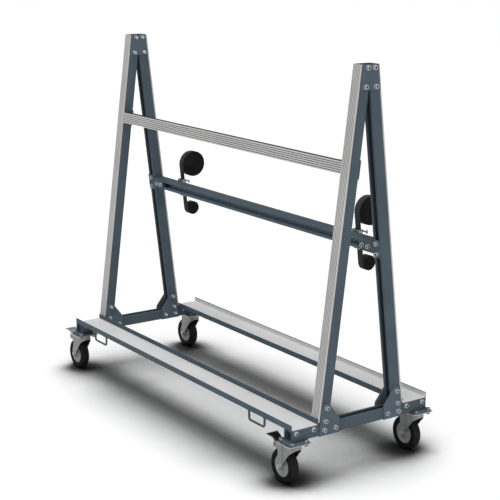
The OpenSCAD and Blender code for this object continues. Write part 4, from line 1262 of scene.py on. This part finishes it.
class CART_OT_straps(bpy.types.Operator):
    """Lashing straps rolled up above and below their buckles"""

    bl_idname = "cart.straps"
    bl_label = "Rolled straps"

    # Steps in a turn and in the run between the rolls, the run's gap to the rail, the turns' pitch
    steps = 40
    run_steps = 24
    standoff = 14
    pitch = 2.05

    # Each roll's middle up the slope, the radius of its outermost turn and its number of turns
    large = (82, 52.775, 24)
    small = (-104, 27.275, 11)

    def roll(self, centre, start, turns, way):
        """Points as (out, up, turn), from the outermost turn inwards."""
        points = []
        for i in range(turns * self.steps + 1):
            angle = 2 * math.pi * i / self.steps
            radius = start - self.pitch * i / self.steps
            out = self.standoff + start - radius * math.cos(angle)
            points.append((out, centre + way * radius * math.sin(angle), i / self.steps))
        return points

    def strap_line(self):
        """The middle line of a strap, from inside its large roll to inside its small one."""
        top, bottom = self.large[0], self.small[0]
        straight = [
            (self.standoff, top - (top - bottom) * i / self.run_steps, 0.0)
            for i in range(1, self.run_steps)
        ]
        return self.roll(*self.large, 1)[::-1] + straight + self.roll(*self.small, -1)

    def execute(self, context):
        settings = context.scene.strap_settings
        half = settings.width / 2
        edge = half - 0.5
        line = self.strap_line()
        for name, side in SIDES.items():
            points, spots, run = [], [], 0.0
            for i, (out, up, turn) in enumerate(line):
                before, after = neighbours(line, i)
                along = Vector((after[0] - before[0], after[1] - before[1])).normalized()
                across = Vector((-along.y, along.x))
                run += math.hypot(out - before[0], up - before[1])
                rolled = min(1.0, turn)
                thick = settings.thickness / 2 * (0.94 + 0.06 * rolled)
                sway = 0.6 * math.sin(turn * 1.9 + side) + 0.4 * math.sin(turn * 4.3 + 2 * side)
                shift = settings.drift * rolled * sway
                thin = 0.4 * thick
                section = [
                    (-half, -thin), (-edge, -thick), (0, -thick), (edge, -thick), (half, -thin),
                    (half, thin), (edge, thick), (0, thick), (-edge, thick), (-half, thin),
                ]
                for place, proud in section:
                    x = side * STRAP_X + place + shift
                    away, slope = out + across.x * proud, up + across.y * proud
                    points.append(on_lean(x, away, slope, REAR_RAIL))
                    spots.append((run * MM, place * MM))
            count = len(section)
            faces = ring_faces(len(line), count, closed=False)
            piece = smoothed(shaped(name + "_webbing", (points, faces)), 50)
            weave = piece.data.uv_layers.new(name="weave")
            for loop in piece.data.loops:
                weave.data[loop.index].uv = spots[loop.vertex_index]
            ends = (0, count // 2 - 1, count // 2, count - 1)
            selvedge = [float(i % count in ends) for i in range(len(points))]
            add_values(piece.data, "selvedge", selvedge)
            hand_over(piece, "frame", "webbing", name + "_strap")
        return {"FINISHED"}


class CART_OT_buckles(bpy.types.Operator):
    """Cam buckles, their levers and pins"""

    bl_idname = "cart.buckles"
    bl_label = "Buckles"

    # The guide pins' free ends start 21 mm from the straps' middles and swell by 0.9 mm
    swell_start, swelling = 21, 0.9

    # The cam levers' faces, which the ridges stand on, out from the rail's web
    ridge_out = 30.025

    def swell(self, shape):
        """The guide pins' free ends stand out a little thicker than in the CAD model."""
        shape.normal_update()
        ends = [
            point
            for point in shape.verts
            if abs(abs(point.co.x / MM - MIDDLE_X) - STRAP_X) > self.swell_start
        ]
        moves = [point.normal * self.swelling * MM for point in ends]
        for point, move in zip(ends, moves):
            point.co += move

    def execute(self, context):
        width = context.scene.cart_edges.steel_edge
        bars = bar_tree()
        ridge = {"Length": 26, "Width": 1.6, "Height": 1.4}
        for name, side in SIDES.items():
            node = name + "_buckle_frame"
            hand_over(softened(node, width), "frame", "zinc_steel", node, look="buckle_steel")
            node = name + "_cam_lever"
            lever = softened(node, width)
            hand_over(lever, name + "_lever", "zinc_steel", node, look="buckle_steel")
            rows = []
            for i in range(5):
                seat = on_lean(side * STRAP_X, self.ridge_out, -22 - 4 * i, REAR_RAIL)
                rows.append((seat, (1, 0, 0), 0))
            ridges = grown(name + "_lever_ridges", bars, rows, "buckle_steel", **ridge)
            hand_over(ridges, name + "_lever", "zinc_steel", look="buckle_steel")
        pins = softened("buckle_pins", 0.5, reshape=self.swell)
        hand_over(pins, "frame", "zinc_steel", "buckle_pins")
        return {"FINISHED"}


class CART_PT_panel(bpy.types.Panel):
    """Lists what builds the cart"""

    bl_idname = "CART_PT_panel"
    bl_label = "Sheet goods cart"
    bl_space_type = "VIEW_3D"
    bl_region_type = "UI"
    bl_category = "Cart"

    def draw(self, context):
        for step in STEPS:
            self.layout.operator(step.bl_idname)
        for group in GROUPS:
            settings = getattr(context.scene, group)
            box = self.layout.box()
            for name in settings.bl_rna.properties.keys():
                if name not in ("name", "rna_type"):
                    box.prop(settings, name)


STEPS = (
    CART_OT_stage,
    CART_OT_cad_finishes,
    CART_OT_painted_frame,
    CART_OT_strips,
    CART_OT_deck_liners,
    CART_OT_lashing_loops,
    CART_OT_frame_fasteners,
    CART_OT_caster_plates,
    CART_OT_forks,
    CART_OT_wheels,
    CART_OT_pedals,
    CART_OT_straps,
    CART_OT_buckles,
)
GROUPS = {
    "cart_colours": CartColours,
    "cart_edges": CartEdges,
    "strap_settings": StrapSettings,
    "studio_settings": StudioSettings,
}
CLASSES = (*GROUPS.values(), *STEPS, CART_PT_panel)


def register():
    for each in CLASSES:
        bpy.utils.register_class(each)
    for name, group in GROUPS.items():
        setattr(bpy.types.Scene, name, bpy.props.PointerProperty(type=group))


def unregister():
    for name in GROUPS:
        delattr(bpy.types.Scene, name)
    for each in reversed(CLASSES):
        bpy.utils.unregister_class(each)


def main():
    register()
    for step in STEPS:
        family, name = step.bl_idname.split(".")
        getattr(getattr(bpy.ops, family), name)()


if __name__ == "__main__":
    main()
